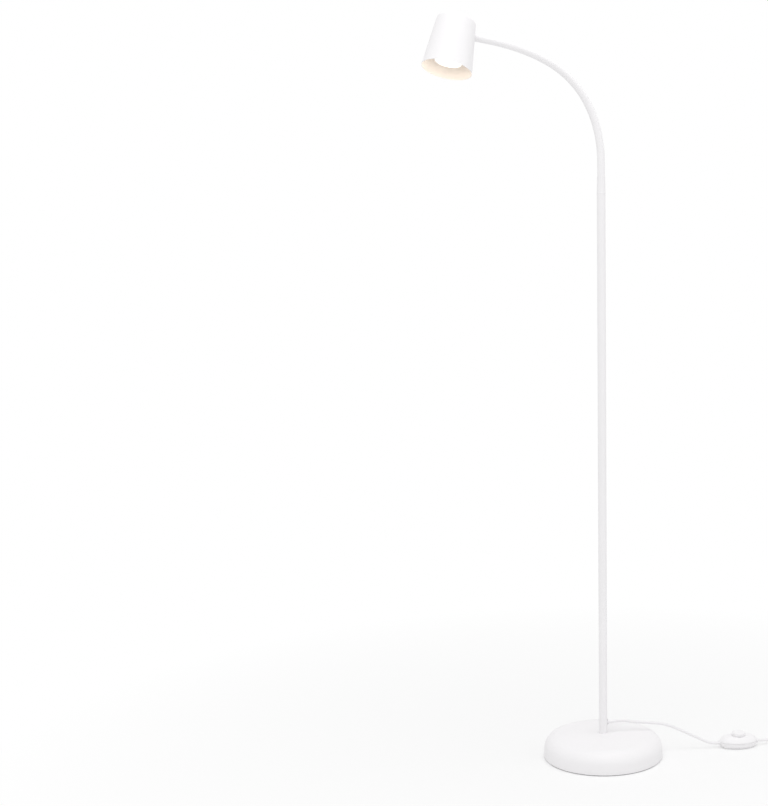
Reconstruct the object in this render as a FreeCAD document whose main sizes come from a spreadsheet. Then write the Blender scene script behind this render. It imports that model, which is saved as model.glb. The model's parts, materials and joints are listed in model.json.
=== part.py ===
import FreeCAD, Part

# Gooseneck reading floor lamp, in millimetres.
#
# The lamp stands on the plane Z = 0, with the pole on the Z axis and the origin in the middle of the
# base's floor pad. The neck reaches towards -X and the cord leaves the pole's foot towards +X.
# Every size is a cell of the sheet "Sizes"; the solids are bound to those cells.

import math
import os

import Sketcher
from FreeCAD import Placement, Rotation, Vector

DOC = FreeCAD.newDocument("reading_lamp")
UP = Vector(0, 0, 1)
ACROSS = Vector(0, 1, 0)
ORIGIN = Vector(0, 0, 0)
UNTURNED = Rotation()
ALONG_X = Rotation(ACROSS, 90)
QUARTER_ABOUT_X = Rotation(Vector(1, 0, 0), 90)

# ---------------------------------------------------------------------------------------------------
# Sizes
# ---------------------------------------------------------------------------------------------------

SIZES = [
    ("base_radius", 115.0, "outer radius of the base cover"),
    ("base_edge", 40.0, "height of the cover's dome above its own rim at the outside"),
    ("base_crown", 45.5, "height of the cover's dome above its own rim in the middle"),
    ("base_shoulder", 26.0, "radius of the round shoulder of the cover"),
    ("base_sheet", 1.2, "thickness of the cover's steel"),
    ("pad_thickness", 1.5, "thickness of the floor pad"),
    ("pad_inset", 2.0, "how far the floor pad stays inside the cover's rim"),
    ("plate_inset", 6.0, "how far the weight plate stays inside the cover"),
    ("plate_thickness", 11.0, "thickness of the weight plate"),
    ("plate_chamfer", 1.5, "edge chamfer of the weight plate"),
    ("nut_pocket_radius", 15.0, "radius of the pocket for the nut under the weight plate"),
    ("nut_pocket_depth", 8.0, "depth of that pocket"),
    ("nut_across", 17.0, "width across the flats of the base nut and the shade nut"),
    ("nut_height", 5.0, "height of the base nut"),
    ("base_washer_radius", 12.5, "outer radius of the washer over the base nut"),
    ("base_washer_thickness", 1.6, "thickness of that washer"),
    ("rod_radius", 5.0, "outer radius of the threaded rod and of the hollow nipples"),
    ("rod_clearance", 0.2, "radial clearance round the rod and the nipples"),
    ("spacer_radius", 11.0, "outer radius of the tube that carries the middle of the cover"),
    ("pole_radius", 8.0, "outer radius of the pole"),
    ("pole_wall", 1.2, "wall of the pole"),
    ("pole_lower_length", 518.0, "length of the lower section of the pole"),
    ("pole_upper_length", 518.0, "length of the upper section of the pole"),
    ("insert_clearance", 0.05, "radial clearance of the inserts in the pole"),
    ("foot_insert_height", 16.0, "height of the insert in the pole's foot"),
    ("foot_thread_depth", 13.0, "how far the rod goes into the foot insert"),
    ("coupler_half", 18.0, "how far the coupler goes into each section of the pole"),
    ("top_insert_height", 20.0, "height of the insert in the pole's top"),
    ("wire_bore", 3.6, "radius of the way for the wires through inserts and nipples"),
    ("wire_radius", 1.1, "radius of one insulated wire"),
    ("wire_spread", 1.25, "distance of each wire from the middle of the pair"),
    ("wire_bend", 4.0, "radius of the wires' bend at the pole's foot"),
    ("wire_level", 5.0, "distance of the wires below the bracket where they enter the lampholder"),
    ("exit_height", 21.0, "height of the cord's exit above the pole's foot"),
    ("bushing_radius", 4.0, "radius of the cord bushing where it passes the pole's wall"),
    ("bushing_flange", 5.8, "radius of the bushing's flange"),
    ("bushing_flange_thickness", 2.0, "thickness of the bushing's flange"),
    ("bushing_inside", 3.0, "how far the bushing reaches in behind the pole's outside"),
    ("bushing_gap", 0.3, "gap between the bushing's flange and the pole, before it is cut to the pole"),
    ("boot_length", 16.0, "length of the bushing's boot in front of its flange"),
    ("boot_root", 4.0, "radius of the boot at the flange"),
    ("boot_tip", 3.4, "radius of the boot at its tip"),
    ("cord_radius", 2.9, "radius of the cord"),
    ("ring_radius", 8.4, "outer radius of the trim ring on top of the pole"),
    ("ring_height", 2.0, "height of the trim ring"),
    ("ferrule_height", 29.0, "height of the tapered ferrule"),
    ("ferrule_foot", 7.9, "outer radius of the ferrule at the trim ring"),
    ("ferrule_top", 7.5, "outer radius of the ferrule at its top"),
    ("ferrule_floor", 4.0, "thickness of the ferrule's floor"),
    ("ferrule_seat", 9.0, "height above the ferrule's foot at which the sleeve stands"),
    ("nipple_below", 17.0, "how far the lower nipple goes into the top insert"),
    ("sleeve_radius", 7.0, "outer radius of the neck's sleeve"),
    ("sleeve_wall", 0.9, "wall of the neck's sleeve"),
    ("hose_radius", 6.0, "outer radius of the steel hose in the sleeve"),
    ("hose_wall", 2.2, "wall of the steel hose"),
    ("joint_gap", 0.3, "gap between the ball end of one neck link and the next link"),
    ("root_stub", 27.5, "straight neck above the ferrule"),
    ("link_length", 55.0, "length of one neck link along its axis"),
    ("link_a_bend", 13.5, "bend of the first link, in degrees"),
    ("link_b_bend", 15.5, "bend of the second link"),
    ("link_c_bend", 18.5, "bend of the third link"),
    ("link_d_bend", 17.0, "bend of the fourth link"),
    ("link_e_bend", 9.0, "bend of the fifth link"),
    ("link_f_bend", 7.5, "bend of the sixth link"),
    ("head_stub", 28.5, "straight neck between the last joint and the shade"),
    ("head_twist", 11.5, "turn of the shade about the neck's end, in degrees"),
    ("shade_mouth", 45.4, "outer radius of the shade at its mouth"),
    ("shade_top", 34.6, "outer radius of the shade at its top, before the edge is rounded"),
    ("shade_height", 96.5, "height of the shade"),
    ("shade_edge", 8.0, "radius of the shade's rounded top edge"),
    ("shade_sheet", 0.9, "thickness of the shade's sheet metal"),
    ("entry_below_top", 24.0, "distance of the neck's entry below the shade's top"),
    ("head_nipple_outside", 12.0, "how far the head nipple reaches into the hose"),
    ("head_nipple_inside", 10.5, "how far the head nipple reaches into the shade"),
    ("head_washer_radius", 10.0, "outer radius of the washer on the head nipple"),
    ("head_washer_thickness", 1.0, "thickness of that washer"),
    ("head_nut_height", 4.0, "height of the nut on the head nipple"),
    ("bracket_sheet", 1.2, "thickness of the bracket that carries the lampholder"),
    ("bracket_width", 14.0, "width of the bracket"),
    ("bracket_gap", 0.1, "gap between the bracket's edges and the shade's wall"),
    ("bracket_below", 11.0, "how far the bracket reaches below the neck's axis"),
    ("bracket_drop", 9.0, "distance of the bracket's arm below the shade's top"),
    ("bracket_reach", 12.0, "how far the bracket's arm reaches past the shade's axis"),
    ("holder_radius", 13.5, "radius of the lampholder"),
    ("holder_height", 22.0, "height of the lampholder"),
    ("holder_edge", 1.2, "radius of the lampholder's lower edge"),
    ("holder_groove_in", 2.2, "inner radius of the groove for the lamp's pins"),
    ("holder_groove_out", 8.2, "outer radius of that groove"),
    ("holder_groove_depth", 8.0, "depth of that groove"),
    ("holder_screw_offset", 7.5, "distance of the holder's screws from the shade's axis"),
    ("screw_radius", 1.5, "shaft radius of the small screws"),
    ("screw_head_radius", 2.8, "head radius of the small screws"),
    ("screw_head_height", 1.8, "head height of the small screws"),
    ("screw_slot", 0.8, "width of the slot in a screw's head"),
    ("screw_clearance", 0.2, "radial clearance of the small screws and their heads"),
    ("holder_screw_length", 8.0, "length of the holder's screws under the head"),
    ("lamp_gap", 0.3, "gap between the lamp and the lampholder"),
    ("lamp_length", 50.0, "length of the lamp from its foot to its face"),
    ("lamp_foot_radius", 12.0, "radius of the lamp's foot"),
    ("lamp_foot_height", 17.0, "height of the lamp's foot"),
    ("lamp_foot_edge", 1.5, "radius of the edge of the lamp's foot"),
    ("lamp_face_radius", 25.0, "radius of the lamp's face"),
    ("lamp_rim_height", 6.0, "height of the cylindrical rim behind the lamp's face"),
    ("lens_radius", 22.5, "radius of the lamp's lens"),
    ("lens_thickness", 2.5, "thickness of the lens where it sits in the housing"),
    ("lens_bulge", 0.6, "how far the lens stands out of the lamp's face"),
    ("lens_clearance", 0.1, "radial clearance of the lens"),
    ("lamp_pin_offset", 5.0, "distance of each lamp pin from the lamp's axis"),
    ("lamp_pin_radius", 1.3, "radius of a lamp pin's shaft"),
    ("lamp_pin_head", 2.5, "radius of a lamp pin's head"),
    ("lamp_pin_head_height", 2.4, "height of a lamp pin's head"),
    ("lamp_pin_length", 7.0, "how far a lamp pin stands out of the lamp's foot"),
    ("lamp_pin_root", 4.0, "how far a lamp pin goes into the lamp's foot"),
    ("switch_x", 271.0, "place of the foot switch"),
    ("switch_y", -39.0, "place of the foot switch"),
    ("switch_turn", -8.0, "direction of the foot switch, in degrees"),
    ("switch_half_length", 38.4, "half the length of the foot switch"),
    ("switch_half_width", 24.0, "half the width of the foot switch"),
    ("switch_split", 12.0, "height of the parting line of the switch's shells"),
    ("switch_height", 23.0, "height of the switch's upper shell above the floor"),
    ("switch_wall", 1.8, "wall of the switch's shells"),
    ("switch_foot_inset", 7.5, "how much smaller the switch is at the floor"),
    ("switch_flare_inset", 2.2, "how much smaller it is at the height of the flare"),
    ("switch_flare_height", 5.0, "height of the flare"),
    ("switch_shoulder_inset", 2.0, "how much smaller it is at the lower shoulder"),
    ("switch_shoulder_rise", 4.5, "height of the lower shoulder above the parting line"),
    ("switch_brow_inset", 5.2, "how much smaller it is at the upper shoulder"),
    ("switch_brow_drop", 2.6, "height of the upper shoulder below the top"),
    ("switch_crown_inset", 9.0, "how much smaller it is at the top"),
    ("switch_cord_height", 10.0, "height of the cord's axis in the switch"),
    ("button_radius", 12.7, "radius of the foot button"),
    ("button_clearance", 0.4, "radial clearance of the foot button in its hole"),
    ("button_proud", 8.0, "how far the foot button stands above the upper shell"),
    ("button_edge", 2.6, "radius of the foot button's rounded edge"),
    ("button_flange", 14.6, "radius of the flange that keeps the foot button in"),
    ("button_flange_height", 1.6, "height of that flange"),
    ("button_rest_gap", 0.3, "gap between the flange and the upper shell at rest"),
    ("button_wall", 1.8, "wall of the foot button"),
    ("spring_radius", 5.5, "mean radius of the button's spring"),
    ("spring_wire", 0.6, "radius of the spring's wire"),
    ("spring_gap", 0.1, "gap at each end of the spring"),
    ("spring_turns", 4.0, "number of turns of the spring"),
    ("contact_length", 24.0, "length of the contact block"),
    ("contact_width", 17.0, "width of the contact block"),
    ("contact_height", 10.0, "height of the contact block"),
    ("grommet_radius", 4.4, "radius of the grommets at the switch's ends"),
    ("grommet_inside", 7.0, "how far a grommet reaches in from the switch's end"),
    ("grommet_outside", 1.6, "how far a grommet stands out of the switch's end"),
    ("grommet_clearance", 0.1, "radial clearance of the grommets"),
    ("lead_radius", 2.2, "radius of the leads inside the switch"),
    ("switch_boss_x", 17.0, "place of the screw bosses along the switch"),
    ("switch_boss_y", 9.0, "place of the screw bosses across the switch"),
    ("switch_boss_radius", 3.4, "radius of the screw bosses"),
    ("switch_screw_length", 12.0, "length of the switch's screws under the head"),
    ("coil_lift", 0.8, "height of the coil above the floor, on its tie"),
    ("coil_outer", 43.5, "radius of the coil's outermost turn"),
    ("coil_pitch", 6.6, "distance between turns that lie side by side"),
    ("coil_layer", 6.4, "distance between the two layers"),
    ("coil_turns", 2.75, "turns in each layer"),
    ("coil_dip", 1.4, "how far the climbing half turn draws inwards"),
    ("tie_width", 9.0, "width of the coil's tie"),
    ("tie_thickness", 0.7, "thickness of the coil's tie"),
    ("tie_clearance", 0.4, "clearance of the tie round the coil"),
    ("tie_corner", 2.6, "radius of the tie's corners"),
    ("tie_turn", -60.0, "place of the tie round the coil, in degrees"),
    ("plug_length", 36.0, "length of the plug's body"),
    ("plug_half_width", 17.6, "half the width of the plug at its face"),
    ("plug_neck_width", 7.0, "half the width of the plug at its rear"),
    ("plug_waist", 16.0, "distance of the plug's full width from its rear"),
    ("plug_thickness", 13.7, "thickness of the plug"),
    ("plug_edge", 2.4, "radius of the plug's rounded edges"),
    ("plug_boot_length", 22.0, "length of the plug's boot"),
    ("plug_boot_root", 5.2, "radius of the boot at the plug"),
    ("plug_boot_tip", 3.6, "radius of the boot at its tip"),
    ("plug_pin_radius", 2.0, "radius of a plug pin"),
    ("plug_pin_length", 19.0, "length of a plug pin outside the plug"),
    ("plug_pin_root", 12.0, "how far a plug pin goes into the plug"),
    ("plug_pin_root_radius", 2.6, "radius of a plug pin's root inside the plug"),
    ("plug_pin_tip", 1.0, "height of the taper at a plug pin's tip"),
    ("plug_pin_offset", 9.3, "distance of each plug pin from the plug's axis"),
    ("plug_pin_clearance", 0.02, "radial clearance of the plug's pins"),
]


def make_sheet(rows):
    """Writes the sizes into the document's sheet, one row each: what it is, its value, its name."""
    sheet = DOC.addObject("Spreadsheet::Sheet", "Sizes")
    for number, (name, value, note) in enumerate(rows, start=1):
        sheet.set(f"A{number}", note)
        sheet.set(f"B{number}", str(value))
        sheet.setAlias(f"B{number}", name)
    DOC.recompute()
    return sheet


SHEET = make_sheet(SIZES)
NAMES = {name for name, _, _ in SIZES}


def bound(formula):
    """The formula with each size's name replaced by its address in the sheet."""
    words = []
    word = ""
    for sign in str(formula) + " ":
        if sign.isalnum() or sign in "_.":
            word += sign
            continue
        words.append("Sizes." + word if word in NAMES else word)
        words.append(sign)
        word = ""
    return "".join(words).strip()


def size(formula):
    """The value of a formula over the sheet's sizes."""
    return float(SHEET.evalExpression(bound(formula)))


def bind(thing, **formulas):
    """Binds properties of a document object to formulas over the sheet's sizes."""
    for name, formula in formulas.items():
        thing.setExpression(name, bound(formula))
    return thing


# ---------------------------------------------------------------------------------------------------
# Ways of making a piece
# ---------------------------------------------------------------------------------------------------

NODES = []


def node(thing, label, placement=None):
    """Names a finished sub-part and puts it in the list of nodes that are written out."""
    thing.Label = label
    if placement is not None:
        thing.Placement = placement
    NODES.append(thing)
    return thing


def primitive(kind, placement=None, **formulas):
    """A Part primitive whose sizes are bound to the sheet."""
    thing = DOC.addObject("Part::" + kind, kind.lower())
    bind(thing, **formulas)
    if placement is not None:
        thing.Placement = placement
    return thing


def cut(base, *tools):
    """The base with each tool taken away."""
    for tool in tools:
        result = DOC.addObject("Part::Cut", "cut")
        result.Base = base
        result.Tool = tool
        base = result
    return base


def fuse(*things):
    """The things as one solid."""
    result = DOC.addObject("Part::MultiFuse", "fuse")
    result.Shapes = list(things)
    return result


def group(*things):
    """The things side by side, as separate solids of one sub-part."""
    result = DOC.addObject("Part::Compound", "group")
    result.Links = list(things)
    return result


def at(x=0.0, y=0.0, z=0.0, turn=UNTURNED):
    """A placement from formulas or numbers."""
    return Placement(Vector(size(x), size(y), size(z)), turn)


def origin_plane(body, role):
    """One of the three origin planes of a body."""
    return next(plane for plane in body.Origin.OriginFeatures if plane.Role == role)


def pin_point(sketch, edge, point, across, along):
    """Places a sketch point by two formulas, from the sketch's origin."""
    for formula, kind, axis in ((across, "DistanceX", -2), (along, "DistanceY", -1)):
        value = size(formula)
        if abs(value) < 1e-9:
            sketch.addConstraint(Sketcher.Constraint("PointOnObject", edge, point, axis))
            continue
        number = sketch.addConstraint(Sketcher.Constraint(kind, -1, 1, edge, point, value))
        sketch.setExpression(f"Constraints[{number}]", bound(formula))


def outline_sketch(body, role, outline):
    """A closed polygon in one of the body's origin planes, each corner placed by two formulas."""
    sketch = body.newObject("Sketcher::SketchObject", "outline")
    sketch.AttachmentSupport = (origin_plane(body, role), [""])
    sketch.MapMode = "FlatFace"
    corners = [Vector(size(across), size(along), 0) for across, along in outline]
    count = len(corners)
    for number in range(count):
        sketch.addGeometry(Part.LineSegment(corners[number], corners[(number + 1) % count]), False)
    for number in range(count):
        sketch.addConstraint(Sketcher.Constraint("Coincident", number, 2, (number + 1) % count, 1))
    for number, (across, along) in enumerate(outline):
        pin_point(sketch, number, 1, across, along)
    return sketch


def turned(outline, placement=None):
    """A body turned about its own Z axis from an outline of radius and height formulas."""
    body = DOC.addObject("PartDesign::Body", "turned")
    sketch = outline_sketch(body, "XZ_Plane", outline)
    turn = body.newObject("PartDesign::Revolution", "turn")
    turn.Profile = sketch
    turn.ReferenceAxis = (sketch, ["V_Axis"])
    turn.Angle = 360.0
    if placement is not None:
        body.Placement = placement
    DOC.recompute()
    return body


def padded(role, outline, thickness, placement=None):
    """A body padded half to each side of one of its origin planes."""
    body = DOC.addObject("PartDesign::Body", "padded")
    sketch = outline_sketch(body, role, outline)
    pad = body.newObject("PartDesign::Pad", "pad")
    pad.Profile = sketch
    pad.SideType = "Symmetric"
    bind(pad, Length=thickness)
    if placement is not None:
        body.Placement = placement
    DOC.recompute()
    return body


def edges_where(body, test):
    """The names of the edges of the body's tip whose curve and middle pass a test."""
    names = []
    for number, edge in enumerate(body.Tip.Shape.Edges, start=1):
        if edge.Degenerated:
            continue
        middle = edge.valueAt((edge.FirstParameter + edge.LastParameter) / 2)
        if test(edge, middle):
            names.append(f"Edge{number}")
    return names


def rounded(body, radius, test):
    """Rounds the edges of the body's tip that pass a test."""
    tip = body.Tip
    names = edges_where(body, test)
    fillet = body.newObject("PartDesign::Fillet", "rounding")
    fillet.Base = (tip, names)
    bind(fillet, Radius=radius)
    DOC.recompute()
    return body


def circle_at(radius, height, tolerance=1e-3):
    """A test for a full circle about the Z axis, of a given radius and height."""
    def test(edge, middle):
        """Whether the edge is that circle."""
        return (
            isinstance(edge.Curve, Part.Circle)
            and abs(edge.Curve.Radius - radius) < tolerance
            and abs(middle.z - height) < tolerance
        )
    return test


def tube_along(edges, radius):
    """A round tube along edges that meet tangentially, and its length."""
    path = Part.Wire(edges)
    start = edges[0].valueAt(edges[0].FirstParameter)
    tangent = edges[0].tangentAt(edges[0].FirstParameter)
    section = Part.Wire([Part.makeCircle(radius, start, tangent)])
    return path.makePipeShell([section], True, False), path.Length


def rounded_route(points):
    """Straight runs joined by arcs as large as the runs allow, and the arcs' radii."""
    edges = []
    radii = []
    start = points[0]
    for before, corner, after in zip(points, points[1:], points[2:]):
        arriving = (corner - before).normalize()
        leaving = (after - corner).normalize()
        half_turn = arriving.getAngle(leaving) / 2
        reach = 0.45 * min((corner - before).Length, (after - corner).Length)
        radius = reach / math.tan(half_turn)
        first = corner - arriving * reach
        last = corner + leaving * reach
        inward = (leaving - arriving).normalize()
        middle = corner + inward * (radius / math.cos(half_turn) - radius)
        edges.append(Part.LineSegment(start, first).toShape())
        edges.append(Part.Arc(first, middle, last).toShape())
        radii.append(radius)
        start = last
    edges.append(Part.LineSegment(start, points[-1]).toShape())
    return edges, radii


def made(label, shape):
    """A sub-part whose shape is made directly."""
    thing = DOC.addObject("Part::Feature", "made")
    thing.Shape = shape
    return node(thing, label)


def check_tube(label, shape, radius, length):
    """Prints a tube's length and compares its volume with its section times its length."""
    share = shape.Volume / (math.pi * radius ** 2 * length)
    print(f"{label}: length {length:.1f} mm, volume / (section x length) {share:.4f}")
    if not shape.isValid() or abs(share - 1) > 0.01:
        raise ValueError(f"{label}: the tube is not sound")


# ---------------------------------------------------------------------------------------------------
# Heights that several pieces share
# ---------------------------------------------------------------------------------------------------

POLE_FOOT = "(pad_thickness + base_crown)"
POLE_SPLIT = f"({POLE_FOOT} + pole_lower_length)"
POLE_TOP = f"({POLE_SPLIT} + pole_upper_length)"
FERRULE_FOOT = f"({POLE_TOP} + ring_height)"
NECK_FOOT = f"({FERRULE_FOOT} + ferrule_height)"
PLATE_TOP = "(pad_thickness + plate_thickness)"
POCKET_TOP = "(pad_thickness + nut_pocket_depth)"
EXIT_LEVEL = f"({POLE_FOOT} + exit_height)"
POLE_BORE = "(pole_radius - pole_wall)"
SNUG = f"({POLE_BORE} - insert_clearance)"
NIPPLE_HOLE = "(rod_radius + rod_clearance)"


# ---------------------------------------------------------------------------------------------------
# Base
# ---------------------------------------------------------------------------------------------------

def domed(radius, edge, crown, shoulder):
    """A body with an upright side, a gentle dome for a top and a round shoulder between them."""
    body = DOC.addObject("PartDesign::Body", "domed")
    sketch = body.newObject("Sketcher::SketchObject", "domed_outline")
    sketch.AttachmentSupport = (origin_plane(body, "XZ_Plane"), [""])
    sketch.MapMode = "FlatFace"
    rim = Vector(size(radius), 0, 0)
    brow = Vector(size(radius), size(edge), 0)
    top = Vector(0, size(crown), 0)
    rise = top.y - brow.y
    sphere = (brow.x ** 2 + rise ** 2) / (2 * rise)
    half = math.asin(brow.x / sphere) / 2
    middle = Vector(sphere * math.sin(half), top.y - sphere * (1 - math.cos(half)), 0)
    sketch.addGeometry(Part.LineSegment(ORIGIN, rim), False)
    sketch.addGeometry(Part.LineSegment(rim, brow), False)
    sketch.addGeometry(Part.Arc(brow, middle, top), False)
    sketch.addGeometry(Part.LineSegment(top, ORIGIN), False)
    starts_at_brow = sketch.Geometry[2].StartPoint.distanceToPoint(brow) < 1e-6
    arc_brow, arc_top = (1, 2) if starts_at_brow else (2, 1)
    sketch.addConstraint(Sketcher.Constraint("Coincident", 0, 2, 1, 1))
    sketch.addConstraint(Sketcher.Constraint("Coincident", 1, 2, 2, arc_brow))
    sketch.addConstraint(Sketcher.Constraint("Coincident", 2, arc_top, 3, 1))
    sketch.addConstraint(Sketcher.Constraint("Coincident", 3, 2, 0, 1))
    sketch.addConstraint(Sketcher.Constraint("PointOnObject", 2, 3, -2))
    pin_point(sketch, 0, 1, "0", "0")
    pin_point(sketch, 0, 2, radius, "0")
    pin_point(sketch, 1, 2, radius, edge)
    pin_point(sketch, 3, 1, "0", crown)
    turn = body.newObject("PartDesign::Revolution", "turn")
    turn.Profile = sketch
    turn.ReferenceAxis = (sketch, ["V_Axis"])
    turn.Angle = 360.0
    DOC.recompute()
    rounded(body, shoulder, circle_at(brow.x, brow.y))
    body.Placement = at(z="pad_thickness")
    return body


def make_base_cover():
    """Pressed steel cover: upright rim, round shoulder and a gentle dome, with a hole for the rod."""
    outside = domed("base_radius", "base_edge", "base_crown", "base_shoulder")
    inside = domed("base_radius - base_sheet", "base_edge - base_sheet", "base_crown - base_sheet",
                   "base_shoulder - base_sheet")
    hole = primitive("Cylinder", at(), Radius=NIPPLE_HOLE, Height=POLE_SPLIT)
    node(cut(outside, inside, hole), "base_cover")


def make_base_inside():
    """Floor pad, weight plate, rod, spacer, washer and nut."""
    pad = primitive("Cylinder", Radius="base_radius - pad_inset", Height="pad_thickness")
    node(pad, "floor_pad")

    plate_radius = "(base_radius - plate_inset)"
    outline = [
        (NIPPLE_HOLE, POCKET_TOP),
        ("nut_pocket_radius", POCKET_TOP),
        ("nut_pocket_radius", "pad_thickness"),
        (plate_radius, "pad_thickness"),
        (plate_radius, f"{PLATE_TOP} - plate_chamfer"),
        (f"{plate_radius} - plate_chamfer", PLATE_TOP),
        (NIPPLE_HOLE, PLATE_TOP),
    ]
    node(turned(outline), "weight_plate")

    washer = [
        (NIPPLE_HOLE, f"{POCKET_TOP} - base_washer_thickness"),
        ("base_washer_radius", f"{POCKET_TOP} - base_washer_thickness"),
        ("base_washer_radius", POCKET_TOP),
        (NIPPLE_HOLE, POCKET_TOP),
    ]
    node(turned(washer), "base_washer")

    nut_top = f"({POCKET_TOP} - base_washer_thickness)"
    nut = hexagonal_nut("nut_height", at(z=f"{nut_top} - nut_height"))
    node(nut, "base_nut")

    rod_foot = f"({nut_top} - nut_height)"
    rod = primitive("Cylinder", at(z=rod_foot), Radius="rod_radius",
                    Height=f"{POLE_FOOT} + foot_thread_depth - {rod_foot}")
    node(rod, "base_rod")

    underside = f"({POLE_FOOT} - base_sheet)"
    spacer = [
        (NIPPLE_HOLE, PLATE_TOP),
        ("spacer_radius", PLATE_TOP),
        ("spacer_radius", f"{underside} - rod_clearance"),
        (NIPPLE_HOLE, f"{underside} - rod_clearance / 2"),
    ]
    node(turned(spacer), "base_spacer")


def hexagonal_nut(height, placement):
    """A hexagonal nut on the rod's thread."""
    prism = DOC.addObject("Part::Prism", "hexagon")
    prism.Polygon = 6
    bind(prism, Circumradius="nut_across / 2 / cos(30)", Height=height)
    prism.Placement = placement
    bore = primitive("Cylinder", placement, Radius="rod_radius", Height=height)
    return cut(prism, bore)


# ---------------------------------------------------------------------------------------------------
# Pole
# ---------------------------------------------------------------------------------------------------

def pole_tube(length, foot):
    """One section of the pole."""
    outside = primitive("Cylinder", at(z=foot), Radius="pole_radius", Height=length)
    inside = primitive("Cylinder", at(z=foot), Radius=POLE_BORE, Height=length)
    return cut(outside, inside)


def make_pole():
    """Two tube sections, their inserts and coupler, and the trim ring on top."""
    bushing_hole = primitive("Cylinder", at(z=EXIT_LEVEL, turn=ALONG_X),
                             Radius="bushing_radius", Height="2 * pole_radius")
    node(cut(pole_tube("pole_lower_length", POLE_FOOT), bushing_hole), "pole_lower")
    node(pole_tube("pole_upper_length", POLE_SPLIT), "pole_upper")

    foot_insert = [
        ("0", f"{POLE_FOOT} + foot_thread_depth"),
        ("rod_radius", f"{POLE_FOOT} + foot_thread_depth"),
        ("rod_radius", POLE_FOOT),
        (SNUG, POLE_FOOT),
        (SNUG, f"{POLE_FOOT} + foot_insert_height"),
        ("0", f"{POLE_FOOT} + foot_insert_height"),
    ]
    node(turned(foot_insert), "pole_foot_insert")

    coupler = [
        ("wire_bore", f"{POLE_SPLIT} - coupler_half"),
        (SNUG, f"{POLE_SPLIT} - coupler_half"),
        (SNUG, f"{POLE_SPLIT} + coupler_half"),
        ("wire_bore", f"{POLE_SPLIT} + coupler_half"),
    ]
    node(turned(coupler), "pole_coupler")

    thread_foot = f"({POLE_TOP} - nipple_below)"
    top_insert = [
        ("wire_bore", f"{POLE_TOP} - top_insert_height"),
        (SNUG, f"{POLE_TOP} - top_insert_height"),
        (SNUG, POLE_TOP),
        ("rod_radius", POLE_TOP),
        ("rod_radius", thread_foot),
        ("wire_bore", thread_foot),
    ]
    node(turned(top_insert), "pole_top_insert")

    ring = [
        (NIPPLE_HOLE, POLE_TOP),
        ("ring_radius", POLE_TOP),
        ("ring_radius", FERRULE_FOOT),
        (NIPPLE_HOLE, FERRULE_FOOT),
    ]
    ring_body = turned(ring)
    for level in (POLE_TOP, FERRULE_FOOT):
        rounded(ring_body, "ring_height / 4", circle_at(size("ring_radius"), size(level)))
    node(ring_body, "trim_ring")


def make_bushing():
    """Strain relief at the pole's foot: flange, tapered boot and a short neck through the wall."""
    outline = [
        ("cord_radius", "-bushing_inside"),
        ("bushing_radius", "-bushing_inside"),
        ("bushing_radius", "bushing_gap"),
        ("bushing_flange", "bushing_gap"),
        ("bushing_flange", "bushing_flange_thickness"),
        ("boot_root", "bushing_flange_thickness"),
        ("boot_tip", "bushing_flange_thickness + boot_length"),
        ("cord_radius", "bushing_flange_thickness + boot_length"),
    ]
    body = turned(outline, at(x="pole_radius", z=EXIT_LEVEL, turn=ALONG_X))
    rounded(body, "bushing_flange_thickness / 3",
            circle_at(size("bushing_flange"), size("bushing_flange_thickness")))
    pole_side = primitive("Cylinder", at(z=f"{EXIT_LEVEL} - 2 * bushing_flange"),
                          Radius="pole_radius", Height="4 * bushing_flange")
    passage = primitive("Cylinder", at(z=EXIT_LEVEL, turn=ALONG_X),
                        Radius="bushing_radius", Height="2 * pole_radius")
    node(cut(body, cut(pole_side, passage)), "cord_bushing")


def make_pole_wires():
    """Two insulated wires from the bushing up to the neck."""
    level = size(EXIT_LEVEL)
    bend = size("wire_bend")
    start = size("pole_radius - bushing_inside")
    wires = []
    for side in (-1, 1):
        offset = side * size("wire_spread")
        corner = Vector(0, offset, level)
        points = [Vector(start, offset, level), corner + Vector(bend, 0, 0), corner + Vector(0, 0, bend)]
        middle = corner + Vector(bend, 0, bend) * (1 - math.sqrt(0.5))
        top = Vector(0, offset, size(f"{FERRULE_FOOT} + ferrule_floor"))
        edges = [
            Part.LineSegment(points[0], points[1]).toShape(),
            Part.Arc(points[1], middle, points[2]).toShape(),
            Part.LineSegment(points[2], top).toShape(),
        ]
        wire, length = tube_along(edges, size("wire_radius"))
        check_tube("pole_wires", wire, size("wire_radius"), length)
        wires.append(wire)
    made("pole_wires", Part.Compound(wires))


# ---------------------------------------------------------------------------------------------------
# Neck
# ---------------------------------------------------------------------------------------------------

LINK_BENDS = ["link_a_bend", "link_b_bend", "link_c_bend", "link_d_bend", "link_e_bend", "link_f_bend"]
SLEEVE_BORE = "(sleeve_radius - sleeve_wall)"
HOSE_BORE = "(hose_radius - hose_wall)"
BALL = "sleeve_radius"
SOCKET = "(sleeve_radius + joint_gap)"


def neck_frames():
    """The frame of each neck joint, from the lowest to the one before the shade.

    Each frame stands on the neck's axis, with its Z along the neck and its Y across it.
    """
    frame = at(z=f"{NECK_FOOT} + root_stub")
    frames = [frame]
    for bend in LINK_BENDS:
        angle = math.radians(size(bend))
        radius = size("link_length") / angle
        end = Vector(-radius * (1 - math.cos(angle)), 0, radius * math.sin(angle))
        frame = frame.multiply(Placement(end, Rotation(ACROSS, -size(bend))))
        frames.append(frame)
    return frames


def ball_end(outer, inner, frame):
    """The rounded end of a tube: the ring between two radii, under a sphere about the joint."""
    ball = primitive("Sphere", frame, Radius=BALL, Angle1="0")
    shell = primitive("Cylinder", frame, Radius=outer, Height=BALL)
    rounded_rod = DOC.addObject("Part::Common", "rounded_rod")
    rounded_rod.Base = ball
    rounded_rod.Tool = shell
    bore = primitive("Cylinder", frame, Radius=inner, Height=BALL)
    return cut(rounded_rod, bore)


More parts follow.
